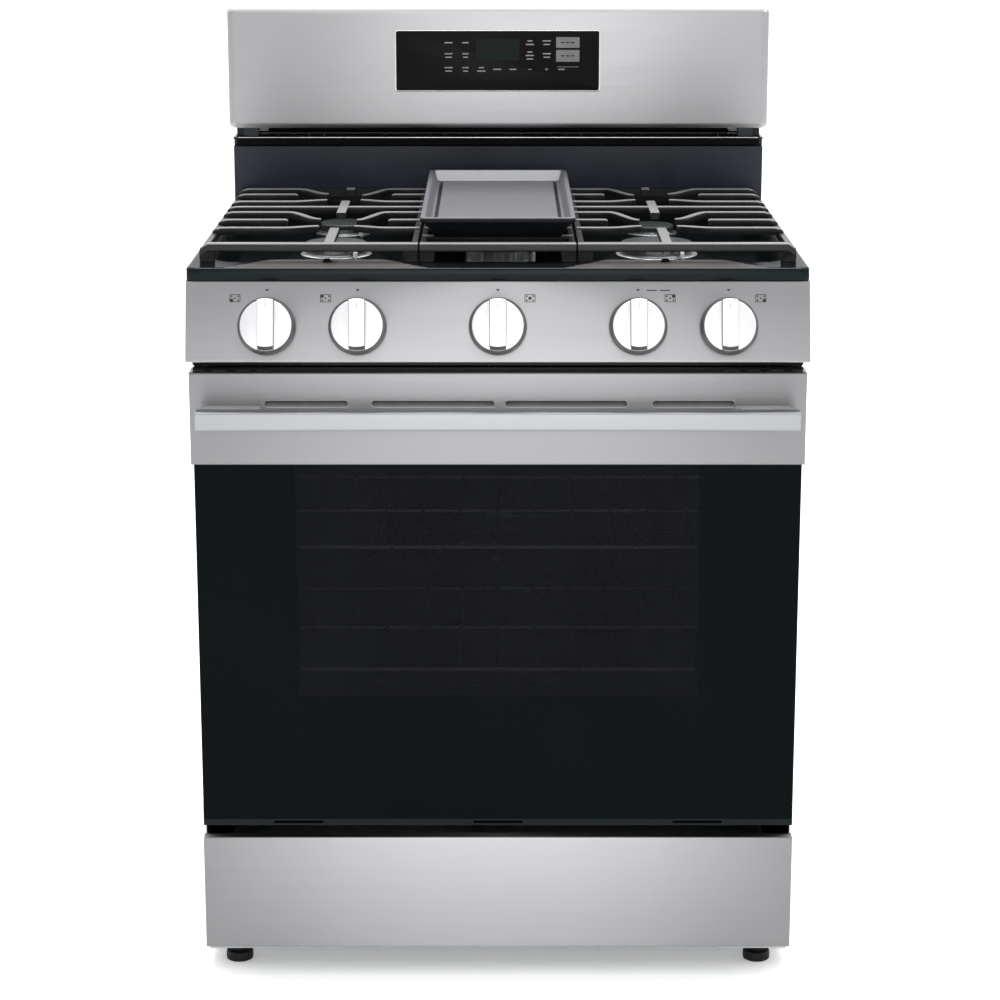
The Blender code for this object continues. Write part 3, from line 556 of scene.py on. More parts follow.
def moulded(name, colour, roughness, specular=0.4):
    """Plastic or paint with a fine even texture."""
    material = principled(name, colour, roughness, 0.0, Specular_IOR_Level=specular)
    grain = noise(material, (1100.0,) * 3, 2.0, 0.6)
    mottle = noise(material, (30.0,) * 3, 3.0)
    tinted(material, mottle, colour, 0.85, 1.15)
    glossed(material, mottle, roughness - 0.04, roughness + 0.06)
    bumped(material, grain, 0.0002, 0.25)
    return material


# For each slot of the record: finish, how it is made, colour, roughness and the other values
FINISH_ROWS = {
    "stainless": (
        ("stainless", brushed, (0.33, 0.33, 0.336), 0.36, "X", 0.015, 0.8),
        # Lighter (guard, drawer) and darker (band) copies of the stainless: painted light and shade, with
        # painted shade towards their ends.
        ("stainless_guard", brushed, (0.375, 0.375, 0.381), 0.36, "X", 0.015, 0.8, 0.08),
        ("stainless_band", brushed, (0.255, 0.255, 0.26), 0.36, "X", 0.015, 0.8, 0.12),
        ("stainless_drawer", brushed, (0.395, 0.395, 0.402), 0.36, "X", 0.015, 0.8, 0.42),
        # A much lighter copy of the stainless: painted highlight on the backguard's top roll, the display's
        # rim and the riser's bead.
        ("stainless_fold", brushed, (0.62, 0.62, 0.63), 0.24),
        ("slot_shade", moulded, (0.2, 0.2, 0.205), 0.5),
    ),
    "handle_steel": (
        ("handle_steel", brushed, (0.31, 0.315, 0.322), 0.38, "X", 0.01, 0.5),
        ("handle_post_steel", moulded, (0.38, 0.38, 0.388), 0.36, 0.5),
    ),
    "knob_metal": (
        # Lit and shaded copies of one knob metal: painted light on the face, painted shade on the sides.
        ("knob_face", brushed, (0.79, 0.79, 0.8), 0.36, "Z", 0.01),
        ("knob_side", brushed, (0.27, 0.27, 0.278), 0.34, "Z", 0.02),
    ),
    "bright_steel": (
        ("turned_steel", brushed, (0.68, 0.68, 0.7), 0.25, "Y", 0.04),
        ("lamp_glass", cast, (0.7, 0.7, 0.66), 0.15, 0.05),
    ),
    "rack_wire": (
        ("rack_wire", brushed, (0.8, 0.8, 0.82), 0.3, "Y", 0.04),
        # A dark copy of the rack's wire for its rods: painted shade.
        ("rack_rod", brushed, (0.14, 0.14, 0.145), 0.34, "Y", 0.04),
    ),
    "galvanised": (("galvanised", spangled, (0.4, 0.415, 0.43), 0.45),),
    "black_paint": (
        ("black_paint", moulded, (0.012, 0.013, 0.014), 0.45, 0.22),
        # Near-black finish for pieces that paint shade: the slot's backing, the band under the riser's lip
        # and the cooktop's front screws.
        ("shadow_black", moulded, (0.002, 0.0022, 0.0024), 0.5, 0.05),
    ),
    "black_enamel": (
        ("black_enamel", enamel, (0.005, 0.006, 0.007), 0.12, 0.3),
        ("trim_enamel", enamel, (0.004, 0.0075, 0.0085), 0.18, 0.1),
        ("pan_enamel", enamel, (0.0035, 0.0045, 0.005), 0.16, 0.01),
        # A much lighter copy of the pan's enamel for the ramps: painted highlight.
        ("ramp_enamel", enamel, (0.06, 0.0555, 0.055), 0.42, 0.12),
    ),
    "riser_enamel": (("riser_enamel", enamel, (0.0155, 0.019, 0.0265), 0.24, 0.2, 0.03),),
    "cavity_enamel": (("cavity_enamel", speckled, (0.012, 0.015, 0.021), 0.24),),
    "cast_iron": (
        ("cast_iron", cast, (0.016, 0.016, 0.0165), 0.32, 0.08, 0.25),
        # A much lighter copy of the cast iron for the bars' tops: painted light.
        ("cast_top", cast, (0.19, 0.19, 0.193), 0.42, 0.0, 0.35, 0.0, 0.05),
        ("cap_enamel", cast, (0.04, 0.044, 0.045), 0.4, 0.05, 0.35),
    ),
    "griddle": (
        ("griddle", cast, (0.124, 0.124, 0.136), 0.45, 0.0, 0.3, 0.15, 0.05),
        # Lighter copy for the rear inner wall (painted light) and darker copy for the outer faces (painted
        # shade).
        ("griddle_wall", cast, (0.52, 0.52, 0.55), 0.45, 0.0, 0.4, 0.2, 0.04),
        ("griddle_outside", cast, (0.007, 0.008, 0.009), 0.45, 0.1, 0.12),
    ),
    "aluminium": (
        ("aluminium", cast, (0.52, 0.53, 0.54), 0.34, 0.15, 0.5, 1.0),
        ("ceramic", cast, (0.9, 0.9, 0.89), 0.45, 0.0),
    ),
    "brass": (("brass", brushed, (0.66, 0.48, 0.2), 0.34, "X", 0.06),),
    "display_glass": (
        ("display_glass", glazed, (0.008, 0.0068, 0.0072), 0.22, 0.04),
        ("display_lcd", moulded, (0.008, 0.011, 0.0105), 0.3, 0.05),
        ("display_key", moulded, (0.16, 0.163, 0.165), 0.4, 0.2),
        ("display_mark", moulded, (0.25, 0.25, 0.25), 0.5, 0.2),
    ),
    "door_glass": (
        ("door_glass", glazed, (0.0016, 0.003, 0.0037), 0.03, 0.032),
        ("window_glass", glazed, (0.0062, 0.0068, 0.0092), 0.03, 0.035, 0.6),
        ("inner_glass", glazed, (0.01, 0.012, 0.013), 0.04, 0.12, 0.15),
    ),
    "glass_wool": (
        ("glass_wool", woolly, (0.62, 0.57, 0.42)),
        ("seal_rope", woolly, (0.1, 0.1, 0.1)),
    ),
    "black_plastic": (
        ("black_plastic", moulded, (0.006, 0.006, 0.0065), 0.48, 0.2),
        ("print_black", moulded, (0.01, 0.01, 0.012), 0.45),
    ),
}
FINISHES = {
    name: (make(name, *values), slot)
    for slot, rows in FINISH_ROWS.items()
    for name, make, *values in rows
}
# Finish of the CAD nodes that stay visible, where it isn't named like their slot
SLOT_FINISH = {"bright_steel": "turned_steel", "knob_metal": "knob_face"}


NODE_FINISH = {"door_inner_glass": "inner_glass", "door_bottom_trim": "trim_enamel"}
EDGE_WIDTHS = {"vent_riser": 0.001}


def finish_frame():
    """CAD nodes that stay visible get their slot's material and slightly rounded edges."""
    for part in frame["record"]["subparts"]:
        node, slot = part["node"], part["material_slot"]
        obj = frame["nodes"][node]
        surface = NODE_FINISH.get(node, SLOT_FINISH.get(slot, slot))
        obj.data.materials.clear()
        obj.data.materials.append(FINISHES[surface][0])
        if obj.hide_render:
            continue
        weld = obj.modifiers.new("Weld", "WELD")
        weld.merge_threshold = 0.00002
        eased(obj, EDGE_WIDTHS.get(obj.name, 0.0005), 2, 50.0)


# ---------------------------------------------------------------- backguard


# Half section of a screw's head and the reach and half width of its cross, in radii
SCREW_HEAD = ((1.0, 0.0), (1.0, 0.25), (0.8, 0.55), (0.35, 0.68))
CROSS_REACH = 0.55
CROSS_HALF = 0.11


def screw(name, matrix, radius, body, surface="turned_steel"):
    """Pan-head screw with a cross recess."""
    head = [(radius * r, radius * h) for r, h in SCREW_HEAD]
    obj = turned(name, head, Matrix.Identity(4), 24)
    reach, half = radius * CROSS_REACH, radius * CROSS_HALF
    spans = ((-reach, reach), (-half, half))
    arms = []
    for turn, (u_span, v_span) in enumerate((spans, spans[::-1])):
        rings = raised(outline(u_span, v_span), radius * 0.3, radius)
        arms.append(skin(f"{name}_arm_{turn}", rings))
    carved(obj, *arms)
    obj.data.transform(matrix)
    return finish(obj, body, surface)


def make_backguard():
    """Stainless shell with rolled edges and a painted highlight along its top roll, and its display."""
    xs, bs, zs = extent("backguard_shell")
    wall, roll, corner = 0.0025, 0.0085, 0.0085
    lip = bs[1] - roll
    stations = [(roll * 0.6 + wall, bs[1] - wall, 0.004), (wall, lip, 0.006)]
    stations += [(wall, bs[0], 0.006), (0.0, bs[0], corner)]
    steps = 8
    for step in range(steps + 1):
        angle = math.pi / 2 * step / steps
        inset = roll * (1 - math.cos(angle))
        stations.append((inset, lip + roll * math.sin(angle), corner - inset * 0.6))
    rings = [in_front(inset_outline(xs, zs, inset, radius, 8), b) for inset, b, radius in stations]
    shell = skin("backguard_casing", rings, sharp=50.0)
    # Upward faces of the top roll take the highlight copy (painted highlight); the rest takes the guard's
    # lighter copy of the stainless (painted light).
    for face in shell.data.polygons:
        face.material_index = int(face.normal.z > 0.2 and face.center.z > zs[1] - roll)
    finish(shell, "range", "stainless_guard", "stainless_fold", replaces=("backguard_shell",))

    gxs, gbs, gzs = extent("display_glass")
    corner, front = 0.003, gbs[1]
    # The display's rim takes the highlight copy: a painted highlight round the glass.
    rim = ((-0.0012, 0.0001), (-0.0012, 0.0007), (-0.00072, 0.001), (0.0001, 0.001), (0.0001, 0.0001))
    rings = [in_front(inset_outline(gxs, gzs, inset, corner), bs[1] + proud) for inset, proud in rim]
    finish(skin("display_rim", rings, closed=True), "range", "stainless_fold")
    pane = ((0.0003, gbs[0]), (0.0003, front - 0.0005), (0.0005, front - 0.0002), (0.0009, front))
    rings = [in_front(inset_outline(gxs, gzs, inset, corner), b) for inset, b in pane]
    finish(skin("display_window", rings), "range", "display_glass", replaces=("display_glass",))
    make_display_marks(gxs[0], gzs[1], front)


LEGEND_COLUMNS = (0.0737, 0.0973, 0.1195, 0.1416, 0.1637, 0.1873, 0.2109, 0.2316)
LEGEND_ROWS = {
    0.0165: {0: 1, 1: 1, 5: 2, 6: 2},
    0.0342: {0: 2, 1: 2, 5: 3, 6: 2},
    0.0534: {0: 2, 1: 2, 2: 2, 3: 1, 4: 1, 7: 1},
}
LINE_PITCH = 0.0048
DASH_HEIGHT = 0.0017


# Patches: piece, across from the glass's left edge, down from its top, corner radius, finish
DISPLAY_PATCHES = (
    ("display_lcd", (0.1121, 0.1726), (0.0118, 0.0413), 0.001, "display_lcd"),
    ("display_key_upper", (0.224, 0.2566), (0.0088, 0.0236), 0.0008, "display_key"),
    ("display_key_lower", (0.224, 0.2566), (0.0265, 0.0428), 0.0008, "display_key"),
)
# Single dashes: across, down, width, height
DISPLAY_SIGNS = (
    (LEGEND_COLUMNS[5], 0.0534, 0.0048, 0.0009),
    (LEGEND_COLUMNS[6], 0.0534, 0.0048, 0.0009),
    (LEGEND_COLUMNS[6], 0.0534, 0.0009, 0.0048),
    (0.2405, 0.05, 0.03, 0.0006),
)


def make_display_marks(left, top, front):
    """LCD window, two key patches and generic legends made of plain dashes."""
    legends = []

    def patch(x_span, down_span, radius, steps):
        """Rings of a thin patch placed from the glass's upper left corner."""
        z_span = (top - down_span[1], top - down_span[0])
        line = outline((left + x_span[0], left + x_span[1]), z_span, radius, steps)
        return [in_front(line, front - 0.0002), in_front(line, front + 0.00006)]

    def dash(x, down, width, height):
        legends.append(patch(shrunk((x, x), -width / 2), shrunk((down, down), -height / 2), height * 0.3, 2))

    for name, x_span, down_span, radius, surface in DISPLAY_PATCHES:
        shells(name, "range", surface, [patch(x_span, down_span, radius, 4)])
    for down, columns in LEGEND_ROWS.items():
        for column, lines in columns.items():
            for line in range(lines):
                offset = (line - (lines - 1) / 2) * LINE_PITCH
                width = 0.0115 - 0.0022 * ((column + line) % 3)
                dash(LEGEND_COLUMNS[column], down + offset, width, DASH_HEIGHT)
    for sign in DISPLAY_SIGNS:
        dash(*sign)
    for step in range(3):
        for down in (0.0162, 0.0347):
            dash(0.233 + 0.007 * step, down, 0.005, 0.0014)
    shells("display_legends", "range", "display_mark", legends)


RISER_TOP = 1.0115


# Hangers of the backguard: end in x, whether it is short and bright
HANGERS = (
    ("left_outer", (-0.3715, -0.3595), False),
    ("left_inner", (-0.339, -0.3265), True),
    ("right_inner", (0.3265, 0.339), True),
    ("right_outer", (0.3595, 0.3715), False),
)
VANES = 30
VANE_SPAN = 0.651


def make_vent_details():
    """Backing, hangers and vanes of the slot between the riser and the backguard; the backing and a band
    under the riser's lip are near-black sheets of painted shade, and a bright bead paints the highlight of
    the lip's edge.
    """
    floor = RISER_TOP + 0.0002
    top = extent("backguard_shell")[2][0] - 0.0005
    # Near-black sheet at the back of the slot: painted shade.
    backing = plate("vent_shade_backing", (-0.3745, 0.3745), (0.011, 0.0125), (floor, top))
    finish(backing, "range", "shadow_black")
    for name, x_span, short in HANGERS:
        low = top - 0.0058 if short else floor
        profile = [(0.05, low), (0.064, low), (0.064, low + 0.0012), (0.0515, low + 0.0012)]
        profile += [(0.0515, top), (0.05, top)]
        hanger = prism(f"vent_hanger_{name}", filleted(profile, 0.0006, 3), x_span)
        finish(hanger, "range", "galvanised" if short else "black_paint")
    # Bright bead along the riser's lip: a painted highlight of its edge.
    bead = [(x, from_back(0.0661), RISER_TOP - 0.0006) for x in (-0.369, 0.0, 0.369)]
    finish(skin("riser_highlight_bead", tube_rings(bead, 0.0008, 10)), "range", "stainless_fold")
    # Near-black band under the riser's lip: painted shade.
    heights = (RISER_TOP - 0.0105, RISER_TOP - 0.0015)
    finish(plate("riser_shade_band", (-0.37, 0.37), (0.0655, 0.0667), heights, 0.0004), "range", "shadow_black")
    vanes = []
    for index in range(VANES):
        x = VANE_SPAN * ((index + 0.5) / VANES - 0.5)
        line = outline((x - 0.0008, x + 0.0008), (0.0135, 0.0475), 0.0005, 2)
        vanes.append([in_plan(line, 1.004), in_plan(line, 1.0105)])
    shells("vent_vanes", "range", "riser_enamel", vanes)


# ---------------------------------------------------------------- cooktop

PAN_FLOOR = 0.8885
RIM_EDGE = 0.0025
PAN_HALF = 0.352
PAN_B = (0.096, 0.618)
MOUNDS = {
    "left_front": 0.0105,
    "left_rear": 0.002,
    "right_front": 0.0105,
    "right_rear": 0.002,
}


def burner_places():
    """Centre in x and b, and cap radius, of each round burner."""
    places = {}
    for name in MOUNDS:
        xs, bs, zs = extent(f"burner_cap_{name}")
        places[name] = (sum(xs) / 2, sum(bs) / 2, (xs[1] - xs[0]) / 2, zs)
    return places


def pan_height(x, b, top, burners):
    """Height of the pressed pan: flat floor, rounded rim, low mounds and a front ramp to each."""
    edge = min(PAN_HALF - abs(x), b - PAN_B[0], PAN_B[1] - b)
    corner = 0.03
    dx = abs(x) - (PAN_HALF - corner)
    db = max(PAN_B[0] + corner - b, b - (PAN_B[1] - corner))
    if dx > 0 and db > 0:
        edge = corner - math.hypot(dx, db)
    height = PAN_FLOOR + (top - PAN_FLOOR) * (1 - ease(edge / 0.016))
    for name, (cx, cb, radius, _) in burners.items():
        distance = math.hypot(x - cx, b - cb)
        mound = PAN_FLOOR + MOUNDS[name] * (1 - ease((distance - radius - 0.012) / 0.034))
        height = max(height, mound)
        if name.endswith("front") and b > cb:
            along = (b - cb - radius) / (PAN_B[1] - cb - radius)
            width = 0.036 + 0.066 * along
            rise = PAN_FLOOR + MOUNDS[name] + (top - PAN_FLOOR - MOUNDS[name]) * ease(along)
            across = 1 - ease((abs(x - cx) - width) / 0.03)
            height = max(height, PAN_FLOOR + (rise - PAN_FLOOR) * across)
    return min(height, top)


def on_ramp(x, b, burners):
    """True on the ramp that rises in front of a front burner, which takes the lighter enamel: a painted
    highlight.
    """
    for name, (cx, cb, radius, _) in burners.items():
        along = (b - cb - radius) / (PAN_B[1] - cb - radius)
        if name.endswith("front") and along > 0.0 and abs(x - cx) < 0.034 + 0.052 * along * along:
            return True
    return False


def rounded_out(x, b, x_span, b_span, inset, corner):
    """Point of a round-cornered rectangle that lies outwards from a point just inside it."""
    half_x = (x_span[1] - x_span[0]) / 2 - inset - corner
    half_b = (b_span[1] - b_span[0]) / 2 - inset - corner
    mid_x, mid_b = sum(x_span) / 2, sum(b_span) / 2
    du, dv = x - mid_x, b - mid_b
    core_u, core_v = min(max(du, -half_x), half_x), min(max(dv, -half_b), half_b)
    away = Vector((du - core_u, dv - core_v)).normalized() * corner
    return mid_x + core_u + away.x, mid_b + core_v + away.y


PAN_GRID = (190, 150)
PAN_INSET = 0.007
SKIRT_BOTTOM = 0.9038
SCREW_B = 0.617


def make_cooktop():
    """One pressed sheet: pan, ledge, rolled edge and skirt."""
    xs, bs, zs = extent("cooktop")
    top = zs[1]
    burners = burner_places()
    columns, rows = PAN_GRID
    work = bmesh.new()
    grid = []
    for i in range(columns + 1):
        x = xs[0] + PAN_INSET + (xs[1] - xs[0] - 2 * PAN_INSET) * i / columns
        line = []
        for j in range(rows + 1):
            b = bs[0] + PAN_INSET + (bs[1] - bs[0] - 2 * PAN_INSET) * j / rows
            line.append(work.verts.new((x, from_back(b), pan_height(x, b, top, burners))))
        grid.append(line)
    for i in range(columns):
        for j in range(rows):
            work.faces.new((grid[i][j], grid[i + 1][j], grid[i + 1][j + 1], grid[i][j + 1]))
    border = [line[0] for line in grid] + grid[-1][1:]
    border += [line[-1] for line in grid[-2::-1]] + grid[0][-2:0:-1]
    edge = [(0.0028, top), (0.0012, top - 0.0005), (0.0003, top - 0.0015), (0.0, top - 0.0028)]
    edge += [(0.0, SKIRT_BOTTOM + 0.001), (0.0006, SKIRT_BOTTOM)]
    for inset, z in edge:
        outer = []
        for vert in border:
            x, b = rounded_out(vert.co.x, BACK_Y - vert.co.y, xs, bs, inset, 0.006)
            outer.append(work.verts.new((x, from_back(b), z)))
        for k, vert in enumerate(border):
            j = (k + 1) % len(border)
            work.faces.new((vert, border[j], outer[j], outer[k]))
        border = outer
    pan = published("cooktop_pressing", work, 60.0)
    solid = pan.modifiers.new("Sheet", "SOLIDIFY")
    solid.thickness = 0.0012
    solid.offset = -1.0
    baked(pan)
    # The ramps take the lighter enamel, a painted highlight.
    for face in pan.data.polygons:
        x, b = face.center.x, BACK_Y - face.center.y
        inside = abs(x) < xs[1] - RIM_EDGE and b < bs[1] - RIM_EDGE and face.normal.z > 0.3
        face.material_index = (2 if on_ramp(x, b, burners) else 1) if inside else 0
    finish(pan, "range", "trim_enamel", "pan_enamel", "ramp_enamel", replaces=("cooktop",))
    # The front screws are near-black: painted shade of the dark hole seen there.
    for name, (x, _, _, _) in burners.items():
        if name.endswith("front"):
            place = standing(x, SCREW_B, pan_height(x, SCREW_B, top, burners) + 0.0003)
            screw(f"cooktop_screw_{name}", place, 0.0052, "range", "shadow_black")


PORTS = 24


def make_round_burner(name, x, b, radius, zs):
    """Aluminium head with its ports, enamelled cap and ceramic igniter."""
    seat = PAN_FLOOR + MOUNDS[name] - 0.0004
    crown = zs[0] - 0.0003
    flange = radius + 0.006
    body = radius - 0.0015
    profile = [(0.015, PAN_FLOOR - 0.024), (0.015, seat + 0.0004), (flange - 0.001, seat + 0.0004)]
    profile += [(flange, seat + 0.0009), (flange, seat + 0.0017), (flange - 0.0008, seat + 0.0022)]
    profile += [(body + 0.0014, seat + 0.0026), (body + 0.001, seat + 0.0044)]
    profile += [(body - 0.003, seat + 0.0052), (body - 0.003, crown - 0.0042)]
    profile += [(body, crown - 0.0034), (body, crown)]
    head = turned(f"burner_head_{name}", profile, standing(x, b), 96, sharp=30.0)
    ports = []
    for step in range(PORTS):
        angle = 2 * math.pi * (step + 0.5) / PORTS
        line = outline((body - 0.006, body + 0.004), (-0.0011, 0.0011))
        port = skin(f"port_{step}", raised(line, crown - 0.0024, crown + 0.001))
        port.data.transform(standing(x, b) @ Matrix.Rotation(angle, 4, "Z"))
        ports.append(port)
    finish(carved(head, *ports), "range", "aluminium", replaces=(f"burner_base_{name}",))

    top = zs[1]
    cap = [(radius - 0.0005, zs[0]), (radius, zs[0] + 0.0006), (radius, top - 0.0036)]
    steps = 6
    for step in range(1, steps + 1):
        angle = math.pi / 2 * step / steps
        cap.append((radius - 0.004 * (1 - math.cos(angle)), top - 0.0036 + 0.0028 * math.sin(angle)))
    cap += [(radius * 0.55, top - 0.0003), (radius * 0.25, top)]
    piece = turned(f"burner_lid_{name}", cap, standing(x, b), 96, sharp=40.0)
    finish(piece, "range", "cap_enamel", replaces=(f"burner_cap_{name}",))
    make_igniter(name, x + (radius + 0.004) * 0.6, b + (radius + 0.004) * 0.8, seat, crown)


def make_igniter(name, x, b, seat, crown):
    """White ceramic post with a steel tip beside the burner's ports."""
    place = standing(x, b, seat)
    tall = crown - seat
    post = [(0.003, 0.0), (0.003, tall * 0.8), (0.0024, tall * 0.86)]
    post += [(0.0024, tall * 0.92), (0.0018, tall * 0.95)]
    finish(turned(f"igniter_{name}", post, place, 24), "range", "ceramic")
    tip = [(0.0008, tall * 0.9), (0.0008, tall + 0.001), (0.0004, tall + 0.0016)]
    finish(turned(f"igniter_tip_{name}", tip, place, 16), "range", "turned_steel")


def stadium(half, b_span, inset=0.0, steps=24):
    """Long round-ended outline in plan."""
    return outline((-half + inset, half - inset), (b_span[0] + inset, b_span[1] - inset), half - inset, steps)


def rippled(points, pitch, depth):
    """Push a plan outline in and out along its length to make ribs."""
    count = len(points)
    travelled = 0.0
    total = sum((Vector(points[i]) - Vector(points[i - 1])).length for i in range(count))
    ribs = round(total / pitch)
    made = []
    for i, point in enumerate(points):
        if i:
            travelled += (Vector(point) - Vector(points[i - 1])).length
        ahead, behind = Vector(points[(i + 1) % count]), Vector(points[i - 1])
        along = (ahead - behind).normalized()
        inward = Vector((-along.y, along.x))
        wave = 0.5 - 0.5 * math.cos(2 * math.pi * ribs * travelled / total)
        made.append(tuple(Vector(point) + inward * depth * wave))
    return made


def resampled(points, spacing):
    """Closed outline cut into short equal stretches."""
    made = []
    for i, point in enumerate(points):
        start, end = Vector(point), Vector(points[(i + 1) % len(points)])
        pieces = max(1, round((end - start).length / spacing))
        made += [tuple(start.lerp(end, k / pieces)) for k in range(pieces)]
    return made


# Inset and drop of the long cap's edge, from its rounded shoulder to its flat top
LONG_CAP_EDGE = ((0.0, 0.003), (0.0006, 0.0016), (0.0018, 0.0007), (0.006, 0.0001), (0.012, 0.0))
FINE = 0.0012


def make_centre_burner():
    """Long burner under the griddle: ribbed aluminium body and a plain cap."""
    xs, bs, zs = extent("burner_base_centre")
    half, crown = xs[1], zs[1]
    ribbed = rippled(resampled(stadium(half, bs), FINE), 0.0072, 0.002)
    foot = resampled(stadium(half + 0.003, shrunk(bs, -0.003)), FINE)
    rim = stadium(half, bs, 0.0005)
    rings = [in_plan(ribbed, PAN_FLOOR + 0.004), in_plan(ribbed, crown - 0.0012)]
    body = skin("long_burner_body", rings, sharp=60.0)
    tray = skin("long_tray", [in_plan(foot, PAN_FLOOR + rise) for rise in (0.0003, 0.0045)])
    collar = skin("long_collar", [in_plan(rim, crown - 0.0016), in_plan(rim, crown)])
    profile = [(0.015, PAN_FLOOR - 0.024), (0.015, PAN_FLOOR + 0.002)]
    throat = turned("long_throat", profile, standing(0.0, sum(bs) / 2), 48)
    finish(united(body, tray, collar, throat), "range", "aluminium", replaces=("burner_base_centre",))

    xs, bs, zs = extent("burner_cap_centre")
    stations = [(0.0004, zs[0]), (0.0, zs[0] + 0.0005)]
    stations += [(inset, zs[1] - drop) for inset, drop in LONG_CAP_EDGE]
    rings = [in_plan(stadium(xs[1], bs, inset), z) for inset, z in stations]
    finish(skin("long_burner_lid", rings), "range", "cap_enamel", replaces=("burner_cap_centre",))
    make_igniter("centre", half + 0.0055, 0.42, PAN_FLOOR + 0.0005, crown)


# ---------------------------------------------------------------- grates

GRATE_TOP = 0.942
GRATE_B = (0.076, 0.62)
BAR_WIDTH = 0.008
BAR_DEPTH = 0.01
LEDGE = 0.9195


def bar_rings(path, width=BAR_WIDTH, depth=BAR_DEPTH, top=GRATE_TOP, round_top=0.0022):
    """Cast bar along (x, b, drop, share) points; share scales its width."""
    rings = []
    for i, (x, b, drop, share) in enumerate(path):
        ahead = path[min(i + 1, len(path) - 1)]
        behind = path[max(i - 1, 0)]
        along = Vector((ahead[0] - behind[0], ahead[1] - behind[1])).normalized()
        half = width / 2 * share
        high = top - drop
        low = min(top - depth, high - 0.004)
        corner = min(round_top, half * 0.8)
        section = [(-half * 0.78, low), (half * 0.78, low), (half, low + 0.003)]
        section += arc(half - corner, high - corner, corner, 0, 4)
        section += arc(corner - half, high - corner, corner, 1, 4)
        section.append((-half, low + 0.003))
        rings.append([(x - along.y * u, from_back(b + along.x * u), z) for u, z in section])
    return rings


def bar(name, path, **settings):
    return skin(name, bar_rings(path, **settings), sharp=50.0)


def dropped_start(x_edge, b, side_step):
    """The first stretch of a bar, where it curves down to the outer rail."""
    path = []
    steps = 5
    for step in range(steps):
        t = step / steps
        path.append((x_edge + side_step * 0.014 * t, b, 0.0045 * (1 - t) ** 2, 1.0))
    return path


def finger(x_edge, step_in, drops, bend_x, b, tip):
    """Bar from a rail that eases over to its tip beside the burner, where it thins out."""
    path = dropped_start(x_edge, b, step_in) if drops else [(x_edge, b, 0.0, 1.0)]
    path.append((x_edge + step_in * 0.024, b, 0.0, 1.0))
    steps = 10
    for step in range(steps + 1):
        t = step / steps
        share = 1.0 - 0.25 * ease((t - 0.5) * 2)
        path.append((bend_x + (tip[0] - bend_x) * t, b + (tip[1] - b) * ease(t), 0.0012 * ease(t), share))
    x, b_tip, drop, share = path[-1]
    path.append((x - (bend_x - tip[0]) * 0.02, b_tip, drop + 0.0012, share * 0.62))
    return path


def straight(x_edge, step_in, drops, end_x, b):
    path = dropped_start(x_edge, b, step_in) if drops else [(x_edge, b, 0.0, 1.0)]
    path.append((x_edge + step_in * 0.024, b, 0.0, 1.0))
    path.append((end_x - step_in * 0.003, b, 0.0, 1.0))
    path.append((end_x, b, 0.0012, 0.62))
    return path


def rail(name, x, half, depth_span, z_span):
    """Side rail with rounded edges."""
    x_span = (x - half, x + half)
    line = outline(x_span, depth_span, 0.002, 3)
    inner = inset_outline(x_span, depth_span, 0.001, 0.0015, 3)
    rings = [in_plan(line, z_span[0]), in_plan(line, z_span[1] - 0.0015), in_plan(inner, z_span[1])]
    return skin(name, rings, sharp=50.0)


# Fall of the front bar's upper side at distances from its outer and from its inner end
BAR_SLOPE = ((0.0, 0.009), (0.003, 0.006), (0.006, 0.0025), (0.01, 0.0))
BAR_SQUARE = ((0.0, 0.0006), (0.0008, 0.0))


def front_bar(name, x_span, outer):
    """Front bar with rounded edges; its outer end (-1 left, 1 right) falls away over the leg."""
    rear, front, low = 0.6055, GRATE_B[1], GRATE_TOP - 0.0105
    profile = [(rear, low), (rear, GRATE_TOP), (front, GRATE_TOP), (front, low)]
    profile = filleted(profile, 0.0022, 4)
    left = BAR_SLOPE if outer < 0 else BAR_SQUARE
    right = BAR_SLOPE if outer > 0 else BAR_SQUARE
    stations = [(x_span[0] + u, drop) for u, drop in left]
    stations += [(x_span[1] - u, drop) for u, drop in reversed(right)]
    rings = [in_side([(b, z - drop) for b, z in profile], x) for x, drop in stations]
    return skin(name, rings, sharp=50.0)


def mark_lit_tops(grate):
    """The upper faces of the bars take the second finish, a lighter copy of the cast iron: painted light on
    the tops.
    """
    for face in grate.data.polygons:
        face.material_index = int(face.normal.z > 0.35 and face.center.z > GRATE_TOP - 0.0024)


def legs(name, x_span):
    """Four legs that stand on the ledge."""
    pieces = []
    rear = (GRATE_B[0], GRATE_B[0] + 0.012)
    front = (GRATE_B[1] - 0.0135, GRATE_B[1] - 0.0004)
    for row, depth_span in enumerate((rear, front)):
        for end, edge in enumerate(x_span):
            step_in = (1, -1)[end]
            inner = edge + step_in * 0.018
            rings = []
            for x, z in ((edge, LEDGE), (edge + step_in * 0.0004, GRATE_TOP - 0.006)):
                rings.append(in_plan(outline(tuple(sorted((x, inner))), depth_span, 0.002, 3), z))
            pieces.append(skin(f"{name}_leg_{row}_{end}", rings))
    return pieces


# Rows of fingers: b, outer bend, outer tip (x, b), inner bend, inner tip (x, b)
FINGERS = (
    (GRATE_B[0] + 0.015, 0.2812, (0.2375, 0.1352), 0.1517, (0.1889, 0.1469)),
    (0.2238, 0.28, (0.2357, 0.1984), 0.151, (0.1886, 0.1984)),
    (0.3312, 0.278, (0.2324, 0.388), 0.148, (0.1842, 0.3958)),
    (0.4763, 0.275, (0.2307, 0.4528), 0.143, (0.1843, 0.4528)),
)
# Rows of short bars: b, outer end, inner end
STUBS = ((0.1498, 0.279, 0.148), (0.4027, 0.274, 0.143))
MIDDLE_B = 0.2784
BURNER_LINE = 0.2085
RAIL_HALF = 0.0042
RAIL_B = (GRATE_B[0], GRATE_B[1] - 0.001)


